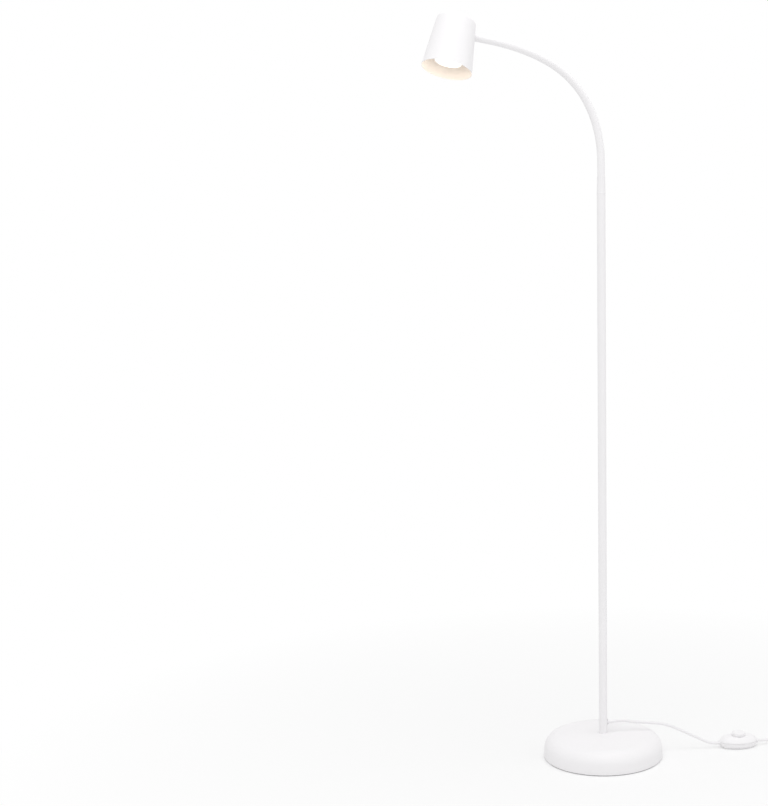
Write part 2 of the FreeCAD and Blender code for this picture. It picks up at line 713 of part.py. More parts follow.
def straight_tube(outer, inner, length, frame):
    """A straight tube that starts at a frame."""
    rod = primitive("Cylinder", frame, Radius=outer, Height=length)
    bore = primitive("Cylinder", frame, Radius=inner, Height=length)
    return cut(rod, bore)


def bent_tube(outer, inner, bend, frame):
    """A tube of one link's length that starts at a frame and bends towards the frame's -X."""
    radius = f"link_length / {bend} * 180 / pi"
    centre = frame.multiply(Placement(Vector(-size(radius), 0, 0), QUARTER_ABOUT_X))
    outside = primitive("Torus", centre, Radius1=radius, Radius2=outer, Angle3=bend)
    inside = primitive("Torus", centre, Radius1=radius, Radius2=inner, Angle3=bend)
    return cut(outside, inside)


def socket_at(frame):
    """The ball that is taken out of a link at its lower joint."""
    return primitive("Sphere", frame, Radius=SOCKET)


def make_neck():
    """Sleeve and steel hose of the neck, in links with ball ends, from the ferrule to the shade."""
    frames = neck_frames()
    seat = at(z=f"{FERRULE_FOOT} + ferrule_seat")
    hose_seat = at(z=f"{FERRULE_FOOT} + ferrule_floor")
    layers = [
        ("sleeve", "sleeve_radius", SLEEVE_BORE, seat, "ferrule_seat", "0"),
        ("hose", "hose_radius", HOSE_BORE, hose_seat, "ferrule_floor", "head_nipple_outside"),
    ]
    for name, outer, inner, foot, foot_height, short in layers:
        stub = straight_tube(outer, inner, f"ferrule_height - {foot_height} + root_stub", foot)
        node(fuse(stub, ball_end(outer, inner, frames[0])), f"neck_{name}_root")
        for number, bend in enumerate(LINK_BENDS):
            tube = cut(bent_tube(outer, inner, bend, frames[number]), socket_at(frames[number]))
            link = fuse(tube, ball_end(outer, inner, frames[number + 1]))
            node(link, f"neck_{name}_{number + 1}")
        last = straight_tube(outer, inner, f"head_stub - {short}", frames[-1])
        node(cut(last, socket_at(frames[-1])), f"neck_{name}_head")


def make_ferrule():
    """Tapered ferrule on the trim ring and the hollow nipple that joins it to the pole."""
    outline = [
        (NIPPLE_HOLE, "0"),
        ("ferrule_foot", "0"),
        ("ferrule_top", "ferrule_height"),
        ("sleeve_radius + insert_clearance", "ferrule_height"),
        ("sleeve_radius + insert_clearance", "ferrule_seat"),
        ("hose_radius + insert_clearance", "ferrule_seat"),
        ("hose_radius + insert_clearance", "ferrule_floor"),
        (NIPPLE_HOLE, "ferrule_floor"),
    ]
    node(turned(outline, at(z=FERRULE_FOOT)), "neck_ferrule")

    nipple = straight_tube("rod_radius", "wire_bore", "nipple_below + ring_height + ferrule_floor",
                           at(z=f"{POLE_TOP} - nipple_below"))
    node(nipple, "neck_root_nipple")


# ---------------------------------------------------------------------------------------------------
# Head
# ---------------------------------------------------------------------------------------------------

SLANT = "atan((shade_mouth - shade_top) / shade_height)"
ENTRY_HEIGHT = "(shade_height - entry_below_top)"
ENTRY_RADIUS = f"(shade_top + (shade_mouth - shade_top) * entry_below_top / shade_height)"
SHADE_INSIDE = "(shade_height - shade_sheet)"
TOP_INSIDE = "(shade_top - shade_sheet)"
TAB_FACE = f"(shade_sheet + {TOP_INSIDE} - sqrt({TOP_INSIDE}^2 - (bracket_width / 2)^2) + bracket_gap)"
TAB_BACK = f"({TAB_FACE} + bracket_sheet)"
ARM_UNDERSIDE = "(shade_height - bracket_drop - bracket_sheet)"
HOLDER_FOOT = f"({ARM_UNDERSIDE} - holder_height)"
LAMP_TOP = f"({HOLDER_FOOT} - lamp_gap)"
LAMP_FACE = f"({LAMP_TOP} - lamp_length)"


def wall_frame():
    """Where the neck meets the shade's outside: Z inwards along the neck, Y across it."""
    last = neck_frames()[-1]
    return last.multiply(Placement(Vector(0, 0, size("head_stub")), Rotation(UP, size("head_twist"))))


def shade_frame():
    """The shade's own frame: origin in the middle of the mouth, Z towards its top.

    The neck enters the wall at a right angle, on the side of the frame's +X.
    """
    slant = size(SLANT)
    entry = Placement(Vector(size(ENTRY_RADIUS), 0, size(ENTRY_HEIGHT)), Rotation(ACROSS, -90 - slant))
    return wall_frame().multiply(entry.inverse())


def in_shade(x=0.0, y=0.0, z=0.0, turn=UNTURNED):
    """A placement given in the shade's frame."""
    return shade_frame().multiply(at(x, y, z, turn))


def tapered(mouth, top, height, edge):
    """A tapered body with a rounded top edge."""
    body = turned([("0", "0"), (mouth, "0"), (top, height), ("0", height)], shade_frame())
    return rounded(body, edge, circle_at(size(top), size(height)))


def make_shade():
    """Conical sheet metal shade with a rounded top edge and a hole for the neck."""
    outside = tapered("shade_mouth", "shade_top", "shade_height", "shade_edge")
    flank = f"shade_sheet / cos({SLANT})"
    inside_top = f"shade_top + (shade_mouth - shade_top) * shade_sheet / shade_height - {flank}"
    inside = tapered(f"shade_mouth - {flank}", inside_top, SHADE_INSIDE, "shade_edge - shade_sheet")
    hole = primitive("Cylinder", wall_frame().multiply(at(z="-shade_edge")), Radius=NIPPLE_HOLE,
                     Height="2 * shade_edge")
    node(cut(outside, inside, hole), "shade")


def make_head_fastening():
    """Hollow nipple with a collar in the sleeve's end, its washer and its nut."""
    frame = wall_frame()
    collar = "(sleeve_radius - sleeve_wall - insert_clearance)"
    outline = [
        ("wire_bore", "-head_nipple_outside"),
        (collar, "-head_nipple_outside"),
        (collar, "0"),
        ("rod_radius", "0"),
        ("rod_radius", "head_nipple_inside"),
        ("wire_bore", "head_nipple_inside"),
    ]
    node(turned(outline, frame), "head_nipple")

    washer = straight_tube("head_washer_radius", NIPPLE_HOLE, "head_washer_thickness",
                           frame.multiply(at(z=TAB_BACK)))
    node(washer, "head_washer")
    nut = hexagonal_nut("head_nut_height", frame.multiply(at(z=f"{TAB_BACK} + head_washer_thickness")))
    node(nut, "head_nut")


def make_bracket():
    """L-shaped bracket: a tab against the shade's wall and an arm over the lampholder."""
    slant = math.radians(size(SLANT))
    face = size(TAB_FACE)
    sheet = size("bracket_sheet")
    width = size("bracket_width")

    def tab_point(depth, rise):
        """A point in the shade's XZ plane, from the entry: depth inwards and rise along the wall."""
        x = size(ENTRY_RADIUS) - depth * math.cos(slant) - rise * math.sin(slant)
        z = size(ENTRY_HEIGHT) - depth * math.sin(slant) + rise * math.cos(slant)
        return Vector(x, 0, z)

    arm_top = size("shade_height - bracket_drop")
    arm_foot = size(ARM_UNDERSIDE)

    def rise_at(height, depth):
        """How far along the wall the tab's face reaches a height."""
        return (height - tab_point(depth, 0).z) / math.cos(slant)

    outer_top = tab_point(face, rise_at(arm_top, face))
    inner_corner = tab_point(face + sheet, rise_at(arm_foot, face + sheet))
    reach = -size("bracket_reach")
    corners = [
        tab_point(face, -size("bracket_below")),
        outer_top,
        Vector(reach, 0, arm_top),
        Vector(reach, 0, arm_foot),
        inner_corner,
        tab_point(face + sheet, -size("bracket_below")),
    ]
    corners = [corner - Vector(0, width / 2, 0) for corner in corners]
    profile = Part.Face(Part.makePolygon(corners + corners[:1]))
    plate = profile.extrude(Vector(0, width, 0))
    bend = 1.2 * sheet
    upright = [edge for edge in plate.Edges
               if edge.Length > width - 1e-6 and abs(edge.Vertexes[0].X - outer_top.x) < 1e-3
               and abs(edge.Vertexes[0].Z - arm_top) < 1e-3]
    plate = plate.makeFillet(bend, upright)
    hole = Part.makeCylinder(size(NIPPLE_HOLE), 4 * sheet, tab_point(-sheet, 0),
                             tab_point(1, 0) - tab_point(0, 0))
    plate = plate.cut(hole)
    for side in (-1, 1):
        foot = Vector(side * size("holder_screw_offset"), 0, arm_foot - sheet)
        screw_hole = Part.makeCylinder(size("screw_radius + screw_clearance"), 4 * sheet, foot, UP)
        plate = plate.cut(screw_hole)
    thing = made("holder_bracket", plate)
    thing.Placement = shade_frame()


def make_lampholder():
    """Ceramic lampholder with a groove for the lamp's two pins, and its two screws."""
    depth = f"({HOLDER_FOOT} + holder_groove_depth)"
    outline = [
        ("0", HOLDER_FOOT),
        ("holder_groove_in", HOLDER_FOOT),
        ("holder_groove_in", depth),
        ("holder_groove_out", depth),
        ("holder_groove_out", HOLDER_FOOT),
        ("holder_radius", HOLDER_FOOT),
        ("holder_radius", ARM_UNDERSIDE),
        ("0", ARM_UNDERSIDE),
    ]
    body = turned(outline)
    rounded(body, "holder_edge", circle_at(size("holder_radius"), size(HOLDER_FOOT)))
    hole_foot = f"({ARM_UNDERSIDE} - holder_screw_length)"
    holes = [primitive("Cylinder", at(x=f"{side} * holder_screw_offset", z=hole_foot),
                       Radius="screw_radius", Height="holder_screw_length") for side in (-1, 1)]
    node(cut(body, *holes), "lampholder", shade_frame())

    screws = []
    for side in (-1, 1):
        place = in_shade(x=f"{side} * holder_screw_offset", z="shade_height - bracket_drop")
        screws.append(screw("(bracket_sheet + holder_screw_length)", place))
    node(group(*screws), "holder_screws")


def screw(length, place):
    """A small pan head screw whose head stands on a placement and whose shaft points down from it."""
    head = primitive("Cylinder", place, Radius="screw_head_radius", Height="screw_head_height")
    shaft = primitive("Cylinder", place.multiply(at(z=f"-{length}")), Radius="screw_radius", Height=length)
    slot_corner = at(x="-screw_head_radius", y="-screw_slot / 2", z="screw_head_height / 2")
    slot = primitive("Box", place.multiply(slot_corner), Length="2 * screw_head_radius",
                     Width="screw_slot", Height="screw_head_height")
    return cut(fuse(head, shaft), slot)


def make_lamp():
    """The reflector lamp: housing, lens and two bayonet pins."""
    lens_seat = f"({LAMP_FACE} + lens_thickness)"
    outline = [
        ("0", LAMP_TOP),
        ("0", lens_seat),
        ("lens_radius + lens_clearance", lens_seat),
        ("lens_radius + lens_clearance", LAMP_FACE),
        ("lamp_face_radius", LAMP_FACE),
        ("lamp_face_radius", f"{LAMP_FACE} + lamp_rim_height"),
        ("lamp_foot_radius", f"{LAMP_TOP} - lamp_foot_height"),
        ("lamp_foot_radius", LAMP_TOP),
    ]
    body = turned(outline)
    rounded(body, "lamp_foot_edge", circle_at(size("lamp_foot_radius"), size(LAMP_TOP)))
    holes = [primitive("Cylinder", at(x=f"{side} * lamp_pin_offset", z=f"{LAMP_TOP} - lamp_pin_root"),
                       Radius="lamp_pin_radius", Height="lamp_pin_root") for side in (-1, 1)]
    node(cut(body, *holes), "lamp_housing", shade_frame())

    lens = [
        ("0", f"{LAMP_FACE} - lens_bulge"),
        ("lens_radius * 0.7", f"{LAMP_FACE} - lens_bulge * 0.7"),
        ("lens_radius", f"{LAMP_FACE} + lens_bulge * 0.3"),
        ("lens_radius", lens_seat),
        ("0", lens_seat),
    ]
    node(turned(lens, shade_frame()), "lamp_lens")

    pins = []
    for side in (-1, 1):
        place = in_shade(x=f"{side} * lamp_pin_offset", z=f"{LAMP_TOP} - lamp_pin_root")
        shaft = primitive("Cylinder", place, Radius="lamp_pin_radius",
                          Height="lamp_pin_root + lamp_pin_length")
        head_place = place.multiply(at(z="lamp_pin_root + lamp_pin_length - lamp_pin_head_height"))
        head = primitive("Cylinder", head_place, Radius="lamp_pin_head", Height="lamp_pin_head_height")
        pins.append(fuse(shaft, head))
    node(group(*pins), "lamp_pins")


def make_head_wires():
    """Two wires from the nipple up beside the lampholder and into its side."""
    frame = shade_frame()
    nipple_end = wall_frame().multVec(Vector(0, 0, size("head_nipple_inside")))
    start = frame.inverse().multVec(nipple_end)
    end_x = size("holder_radius")
    level = size(f"{ARM_UNDERSIDE} - wire_level")
    column = (start.x + end_x) / 2
    wires = []
    for side in (-1, 1):
        across = side * size("wire_spread")
        points = [
            Vector(start.x, across, start.z),
            Vector(column, across, start.z),
            Vector(column, across, level),
            Vector(end_x, across, level),
        ]
        wire, length = tube_along(rounded_route(points)[0], size("wire_radius"))
        check_tube("head_wires", wire, size("wire_radius"), length)
        wires.append(wire)
    made("head_wires", Part.Compound(wires)).Placement = frame


# ---------------------------------------------------------------------------------------------------
# Foot switch
# ---------------------------------------------------------------------------------------------------

SWITCH_END = "(switch_half_length + grommet_outside)"
GROMMET_INNER = "(switch_half_length - grommet_inside)"


def switch_frame():
    """The foot switch's frame: on the floor under its middle, X along the cord."""
    return at("switch_x", "switch_y", "0", Rotation(UP, size("switch_turn")))


def in_switch(x=0.0, y=0.0, z=0.0, turn=UNTURNED):
    """A placement given in the switch's frame."""
    return switch_frame().multiply(at(x, y, z, turn))


def oval_loft(sections, wall):
    """A solid through level ovals, each given by its inset and height, made smaller by a wall."""
    ovals = []
    for inset, height in sections:
        oval = primitive("Ellipse", in_switch(z=height),
                         MajorRadius=f"switch_half_length - {inset} - {wall}",
                         MinorRadius=f"switch_half_width - {inset} - {wall}")
        ovals.append(oval)
    loft = DOC.addObject("Part::Loft", "oval_loft")
    loft.Sections = ovals
    loft.Solid = True
    loft.Ruled = False
    return loft


def grommet_holes():
    """The two openings for the grommets, one at each end of the switch."""
    holes = []
    for side in (-1, 1):
        turn = Rotation(ACROSS, 90 * side)
        place = in_switch(x=f"{side} * {GROMMET_INNER}", z="switch_cord_height", turn=turn)
        holes.append(primitive("Cylinder", place, Radius="grommet_radius + grommet_clearance",
                               Height="2 * grommet_inside"))
    return holes


def boss_places(height):
    """The places of the two screw bosses at a height."""
    return [
        in_switch(x=f"{side} * switch_boss_x", y=f"{side} * switch_boss_y", z=height)
        for side in (-1, 1)
    ]


def make_switch():
    """Lower and upper shell, button, spring, contact block, grommets, leads and screws."""
    head_recess = "(switch_wall + screw_head_height)"
    lower_sections = [
        ("switch_foot_inset", "0"),
        ("switch_flare_inset", "switch_flare_height"),
        ("0", "switch_split"),
    ]
    lower_inside = [
        ("switch_foot_inset", "switch_wall"),
        ("switch_flare_inset", "switch_flare_height"),
        ("0", "switch_split"),
    ]
    screw_posts = [primitive("Cylinder", place, Radius="switch_boss_radius",
                             Height=f"{head_recess} + switch_wall") for place in boss_places("0")]
    lower = fuse(cut(oval_loft(lower_sections, "0"), oval_loft(lower_inside, "switch_wall")), *screw_posts)
    recesses = [primitive("Cylinder", place, Radius="screw_head_radius + screw_clearance",
                          Height=head_recess)
                for place in boss_places("0")]
    passages = [primitive("Cylinder", place, Radius="screw_radius + screw_clearance / 2",
                          Height="switch_split")
                for place in boss_places("0")]
    node(cut(lower, *recesses, *passages, *grommet_holes()), "switch_lower_shell")

    upper_sections = [
        ("0", "switch_split"),
        ("switch_shoulder_inset", "switch_split + switch_shoulder_rise"),
        ("switch_brow_inset", "switch_height - switch_brow_drop"),
        ("switch_crown_inset", "switch_height"),
    ]
    upper_inside = [
        ("0", "switch_split"),
        ("switch_shoulder_inset", "switch_split + switch_shoulder_rise - switch_wall / 2"),
        ("switch_brow_inset", "switch_height - switch_brow_drop - switch_wall"),
        ("switch_crown_inset", "switch_height - switch_wall"),
    ]
    boss_foot = f"({head_recess} + switch_wall + screw_clearance / 2)"
    bosses = [primitive("Cylinder", place, Radius="switch_boss_radius",
                        Height=f"switch_height - switch_wall / 2 - {boss_foot}")
              for place in boss_places(boss_foot)]
    threads = [primitive("Cylinder", place, Radius="screw_radius",
                         Height=f"{head_recess} + switch_screw_length - {boss_foot}")
               for place in boss_places(boss_foot)]
    upper = fuse(cut(oval_loft(upper_sections, "0"), oval_loft(upper_inside, "switch_wall")), *bosses)
    flange_room = primitive("Cylinder", in_switch(z="switch_split"),
                            Radius="button_flange + button_clearance",
                            Height="switch_height - switch_wall - switch_split")
    button_hole = primitive("Cylinder", in_switch(z="switch_split"),
                            Radius="button_radius + button_clearance", Height="2 * switch_height")
    node(cut(upper, *threads, flange_room, button_hole, *grommet_holes()), "switch_upper_shell")

    flange_top = "(switch_height - switch_wall - button_rest_gap)"
    flange_foot = f"({flange_top} - button_flange_height)"
    button_top = "(switch_height + button_proud)"
    button = [
        ("0", f"{button_top} - button_wall"),
        ("button_radius - button_wall", f"{button_top} - button_wall"),
        ("button_radius - button_wall", flange_foot),
        ("button_flange", flange_foot),
        ("button_flange", flange_top),
        ("button_radius", flange_top),
        ("button_radius", button_top),
        ("0", button_top),
    ]
    body = turned(button)
    rounded(body, "button_edge", circle_at(size("button_radius"), size(button_top)))
    node(body, "switch_button", switch_frame())

    block_top = "(switch_wall + contact_height)"
    block = primitive("Box", in_switch(x="-contact_length / 2", y="-contact_width / 2", z="switch_wall"),
                      Length="contact_length", Width="contact_width", Height="contact_height")
    node(block, "contact_block")
    make_spring(f"({block_top} + spring_gap)", f"({button_top} - button_wall - spring_gap)")

    grommets = []
    leads = []
    for side in (-1, 1):
        turn = Rotation(ACROSS, 90 * side)
        outer_end = in_switch(x=f"{side} * {GROMMET_INNER}", z="switch_cord_height", turn=turn)
        grommet_length = "grommet_inside + grommet_outside"
        grommets.append(straight_tube("grommet_radius", "lead_radius", grommet_length, outer_end))
        block_side = in_switch(x=f"{side} * contact_length / 2", z="switch_cord_height", turn=turn)
        leads.append(primitive("Cylinder", block_side, Radius="lead_radius",
                               Height=f"{SWITCH_END} - contact_length / 2"))
    node(group(*grommets), "switch_grommets")
    node(group(*leads), "switch_leads")

    down = Rotation(Vector(1, 0, 0), 180)
    screws = [screw("switch_screw_length", place.multiply(Placement(ORIGIN, down)))
              for place in boss_places(head_recess)]
    node(group(*screws), "switch_screws")


def make_spring(foot, top):
    """The button's spring: a helix of round wire between two heights."""
    low = size(foot) + size("spring_wire")
    high = size(top) - size("spring_wire")
    radius = size("spring_radius")
    turns = size("spring_turns")
    quarters = int(round(4 * turns))

    def place(share):
        """The point of the helix at a share of its length, and its direction there."""
        angle = share * turns * 2 * math.pi
        point = Vector(radius * math.cos(angle), radius * math.sin(angle), low + (high - low) * share)
        climb = (high - low) / (turns * 2 * math.pi)
        direction = Vector(-radius * math.sin(angle), radius * math.cos(angle), climb)
        return point, direction.normalize()

    edges = smooth_edges([place(number / quarters) for number in range(quarters + 1)])
    spring, length = tube_along(edges, size("spring_wire"))
    check_tube("button_spring", spring, size("spring_wire"), length)
    made("button_spring", spring).Placement = switch_frame()


# ---------------------------------------------------------------------------------------------------
# Cord
# ---------------------------------------------------------------------------------------------------

def biarc(start, start_direction, end, end_direction):
    """Two arcs that join two points in their given directions."""
    chord = end - start
    both = start_direction + end_direction
    spread = 2 * (1 - start_direction.dot(end_direction))
    along = chord.dot(both)
    handle = (math.sqrt(along ** 2 + spread * chord.dot(chord)) - along) / spread
    meeting = (start + end + (start_direction - end_direction) * handle) / 2
    return [arc_from(start, start_direction, meeting), arc_from(end, end_direction, meeting, reverse=True)]


def arc_from(point, direction, other, reverse=False):
    """The arc that leaves a point in a direction and passes another point."""
    chord = other - point
    ahead = direction * (-1 if reverse else 1)
    across = chord - ahead * chord.dot(ahead)
    half = math.atan2(across.Length, chord.dot(ahead))
    side = Vector(across).normalize()
    radius = chord.Length / 2 / math.sin(half)
    middle = point + side * (radius * (1 - math.cos(half))) + ahead * (radius * math.sin(half))
    ends = (other, middle, point) if reverse else (point, middle, other)
    return Part.Arc(*ends).toShape()


def smooth_edges(stations):
    """Biarcs through points with given directions."""
    edges = []
    for (start, leaving), (end, arriving) in zip(stations, stations[1:]):
        edges += biarc(start, leaving, end, arriving)
    return edges


def lamp_stretch_points():
    """The cord from the bushing's boot, over the base's rim and down to the foot switch."""
    start = Vector(size("pole_radius + bushing_flange_thickness + boot_length"), 0, size(EXIT_LEVEL))
    end = in_switch(x=f"-{SWITCH_END}", z="switch_cord_height").Base
    before_end = in_switch(x=f"-{SWITCH_END} - 14", z="switch_cord_height").Base
    return [
        start,
        start + Vector(13, 0, 0),
        Vector(65, -2.5, 62.2),
        Vector(97, -6.5, 58.6),
        Vector(129, -10.8, 53),
        Vector(160, -15.5, 37.5),
        Vector(187, -21, 23.5),
        Vector(205, -26.5, 14.5),
        before_end,
        end,
    ]


def coil_stretch_points():
    """The cord from the foot switch along the floor to the coil."""
    level = size("coil_lift + cord_radius")
    start = in_switch(x=SWITCH_END, z="switch_cord_height").Base
    after_start = in_switch(x=f"{SWITCH_END} + 17", z="switch_cord_height").Base
    return [
        start,
        after_start,
        Vector(347, -44, 5.6),
        Vector(367, -35, level),
        Vector(383, -22.5, level),
    ]


def plug_stretch_points(start, heading):
    """The cord from the coil's upper end round its outside to the plug."""
    level = size("plug_thickness / 2")
    return [
        start,
        start + heading * 13,
        Vector(412.5, -4, 9.6),
        Vector(435, -0.5, 8.6),
        Vector(457, -7, 7.4),
        Vector(473, -22.5, level),
        Vector(478, -41, level),
    ]


def coil_place(share):
    """The coil's middle line at a share of its turns: point and direction, in the coil's own frame.

    The turns run clockwise. They spiral in at floor level, climb in the half turn where the spiral
    reverses, and spiral out again on top.
    """
    turns = size("coil_turns")
    pitch = size("coil_pitch")
    outer = size("coil_outer")
    total = 2 * turns + 0.5

    def polar(turn):
        """The radius and height of the middle line after some turns."""
        if turn <= turns:
            return outer - pitch * turn, 0.0
        if turn >= turns + 0.5:
            return outer - pitch * (total - turn), size("coil_layer")
        climb = (turn - turns) / 0.5
        radius = outer - pitch * turns - size("coil_dip") * math.sin(math.pi * climb) ** 2
        return radius, size("coil_layer") * climb * climb * (3 - 2 * climb)

    def point(turn):
        """The middle line after some turns."""
        radius, height = polar(turn)
        angle = -2 * math.pi * turn
        return Vector(radius * math.cos(angle), radius * math.sin(angle), height)

    step = 1e-4
    turn = share * total
    low, high = max(turn - step, 0.0), min(turn + step, total)
    return point(turn), (point(high) - point(low)).normalize()


def make_coil(start, direction):
    """The coiled length of the cord as one unbroken tube with its tie; gives its end and direction."""
    total = 2 * size("coil_turns") + 0.5
    quarters = int(round(4 * total))
    stations = [coil_place(number / quarters) for number in range(quarters + 1)]
    first_point, first_direction = stations[0]
    turn = Rotation(Vector(first_direction.x, first_direction.y, 0), direction)
    middle = start - turn.multVec(first_point)
    stations = [(turn.multVec(point) + middle, turn.multVec(heading)) for point, heading in stations]
    last_point, last_direction = stations[-1]
    level = Vector(last_direction.x, last_direction.y, 0).normalize()
    stations[0] = (start, direction)
    stations[-1] = (last_point, level)
    edges = smooth_edges(stations)
    coil, length = tube_along(edges, size("cord_radius"))
    check_tube("cord_coil", coil, size("cord_radius"), length)
    print_least_gap(edges, size("cord_radius"))
    made("cord_coil", coil)
    make_tie(middle)
    return last_point, level


def print_least_gap(edges, radius):
    """Measures the coil's least gap to itself on points of its middle line and prints it."""
    steps = 6
    passed = 8 * radius
    points = []
    travelled = 0.0
    for edge in edges:
        span = edge.LastParameter - edge.FirstParameter
        for number in range(steps):
            share = number / steps
            point = edge.valueAt(edge.FirstParameter + span * share)
            points.append((travelled + edge.Length * share, point))
        travelled += edge.Length
    least = min(
        point.distanceToPoint(other) - 2 * radius
        for place, (here, point) in enumerate(points)
        for there, other in points[place + 1:]
        if there - here > passed
    )
    print(f"cord_coil: least gap to itself {least:.2f} mm")
    if least < 0.4:
        raise ValueError("the coil's turns lie too close")


def make_tie(middle):
    """The tie round the coil's bundle of turns, on the side away from the lamp."""
    clearance = size("tie_clearance")
    radius = size("cord_radius")
    thickness = size("tie_thickness")
    width = size("tie_width")
    corner = size("tie_corner")
    inner = size("coil_outer - coil_pitch * coil_turns") - radius - clearance
    outer = size("coil_outer") + radius + clearance
    top = size("coil_lift + coil_layer") + 2 * radius + clearance
    band = Part.makeBox(outer - inner + 2 * thickness, width, top + thickness,
                        Vector(inner - thickness, -width / 2, 0))
    band = band.makeFillet(corner, [edge for edge in band.Edges if abs(edge.Length - width) < 1e-6])
    room = Part.makeBox(outer - inner, 2 * width, top - thickness, Vector(inner, -width, thickness))
    long_edges = [edge for edge in room.Edges if abs(edge.Length - 2 * width) < 1e-6]
    room = room.makeFillet(corner - thickness, long_edges)
    turn = Rotation(UP, size("tie_turn"))
    made("coil_tie", band.cut(room)).Placement = Placement(Vector(middle.x, middle.y, 0), turn)


def free_stretch(label, points):
    """One free stretch of the cord, with the radii of its bends printed."""
    edges, radii = rounded_route(points)
    print(f"{label}: radii of the bends", [round(radius) for radius in radii])
    tube, length = tube_along(edges, size("cord_radius"))
    check_tube(label, tube, size("cord_radius"), length)
    made(label, tube)
    return points[-1], (points[-1] - points[-2]).normalize()


def make_cord():
    """The cord in its stretches: to the switch, to the coil, the coil and on to the plug."""
    free_stretch("cord_to_switch", lamp_stretch_points())
    coil_start, heading = free_stretch("cord_to_coil", coil_stretch_points())
    coil_end, heading = make_coil(coil_start, heading)
    plug_rear, heading = free_stretch("cord_to_plug", plug_stretch_points(coil_end, heading))
    make_plug(plug_rear, heading)


PLUG_FACE = "(plug_boot_length + plug_length)"


def make_plug(cord_end, heading):
    """Flat two-pin plug with its boot, lying on the floor at the cord's end."""
    frame = Placement(cord_end, Rotation(Vector(1, 0, 0), heading))
    outline = [
        ("plug_boot_length", "-plug_neck_width"),
        ("plug_boot_length + plug_waist", "-plug_half_width"),
        (PLUG_FACE, "-plug_half_width"),
        (PLUG_FACE, "plug_half_width"),
        ("plug_boot_length + plug_waist", "plug_half_width"),
        ("plug_boot_length", "plug_neck_width"),
    ]
    body = padded("XY_Plane", outline, "plug_thickness", frame)
    rear, face = size("plug_boot_length"), size(PLUG_FACE)
    rounded(body, "plug_edge", lambda edge, middle: rear + 0.01 < middle.x < face - 0.01)
    boot = DOC.addObject("Part::Cone", "plug_boot")
    bind(boot, Radius1="plug_boot_tip", Radius2="plug_boot_root", Height="plug_boot_length + plug_edge")
    boot.Placement = frame.multiply(Placement(ORIGIN, ALONG_X))
    roots = []
    pins = []
    for side in (-1, 1):
        offset = f"{side} * plug_pin_offset"
        root_place = frame.multiply(at(x=f"{PLUG_FACE} - plug_pin_root", y=offset, turn=ALONG_X))
        face_place = frame.multiply(at(x=PLUG_FACE, y=offset, turn=ALONG_X))
        roots.append(primitive("Cylinder", root_place, Height="2 * plug_pin_root",
                               Radius="plug_pin_root_radius + plug_pin_clearance"))
        root = primitive("Cylinder", root_place, Radius="plug_pin_root_radius", Height="plug_pin_root")
        shaft = primitive("Cylinder", face_place, Radius="plug_pin_radius",
                          Height="plug_pin_length - plug_pin_tip")
        tip = DOC.addObject("Part::Cone", "pin_tip")
        bind(tip, Radius1="plug_pin_radius", Radius2="plug_pin_radius / 2", Height="plug_pin_tip")
        tip.Placement = face_place.multiply(at(z="plug_pin_length - plug_pin_tip"))
        pins.append(fuse(root, shaft, tip))
    node(cut(fuse(body, boot), *roots), "plug_body")
    node(group(*pins), "plug_pins")


# ---------------------------------------------------------------------------------------------------
# The whole lamp
# ---------------------------------------------------------------------------------------------------

def check_document():
    """Stops if any object failed or a sub-part's shape is missing or not valid."""
    DOC.recompute()
    for thing in DOC.Objects:
        if "Invalid" in thing.State or "Error" in thing.State:
            raise ValueError(f"{thing.Label}: {thing.State}")
    for thing in NODES:
        if thing.Shape.isNull() or not thing.Shape.isValid():
            raise ValueError(f"{thing.Label}: the shape is not valid")
        if not thing.Shape.Solids:
            raise ValueError(f"{thing.Label}: no solid")
    labels = [thing.Label for thing in NODES]
    if len(labels) != len(set(labels)):
        raise ValueError("two sub-parts share a label")


def write_parts():
    """Writes each sub-part to its own file."""
    os.makedirs("parts", exist_ok=True)
    for thing in NODES:
        thing.Shape.exportStep(f"parts/{thing.Label}.step")
        box = thing.Shape.BoundBox
        print(f"{thing.Label}: {len(thing.Shape.Solids)} solid(s), {thing.Shape.Volume / 1000:.2f} cm3, "
              f"{box.XLength:.1f} x {box.YLength:.1f} x {box.ZLength:.1f} mm")
    print(len(NODES), "sub-parts")


make_base_cover()
make_base_inside()
make_pole()
make_bushing()
make_pole_wires()
make_ferrule()
make_neck()
make_shade()
make_head_fastening()
make_bracket()
make_lampholder()
make_lamp()
make_head_wires()
make_switch()
make_cord()
check_document()
write_parts()
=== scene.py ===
"""Gooseneck reading floor lamp: the finished look of every piece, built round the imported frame.

Blender works in metres; the pieces' own sizes are written in millimetres and multiplied by MM.
"""

import json
import logging
import math
from dataclasses import dataclass, field
from enum import Enum
from typing import Callable

import bpy
from mathutils import Matrix, Vector

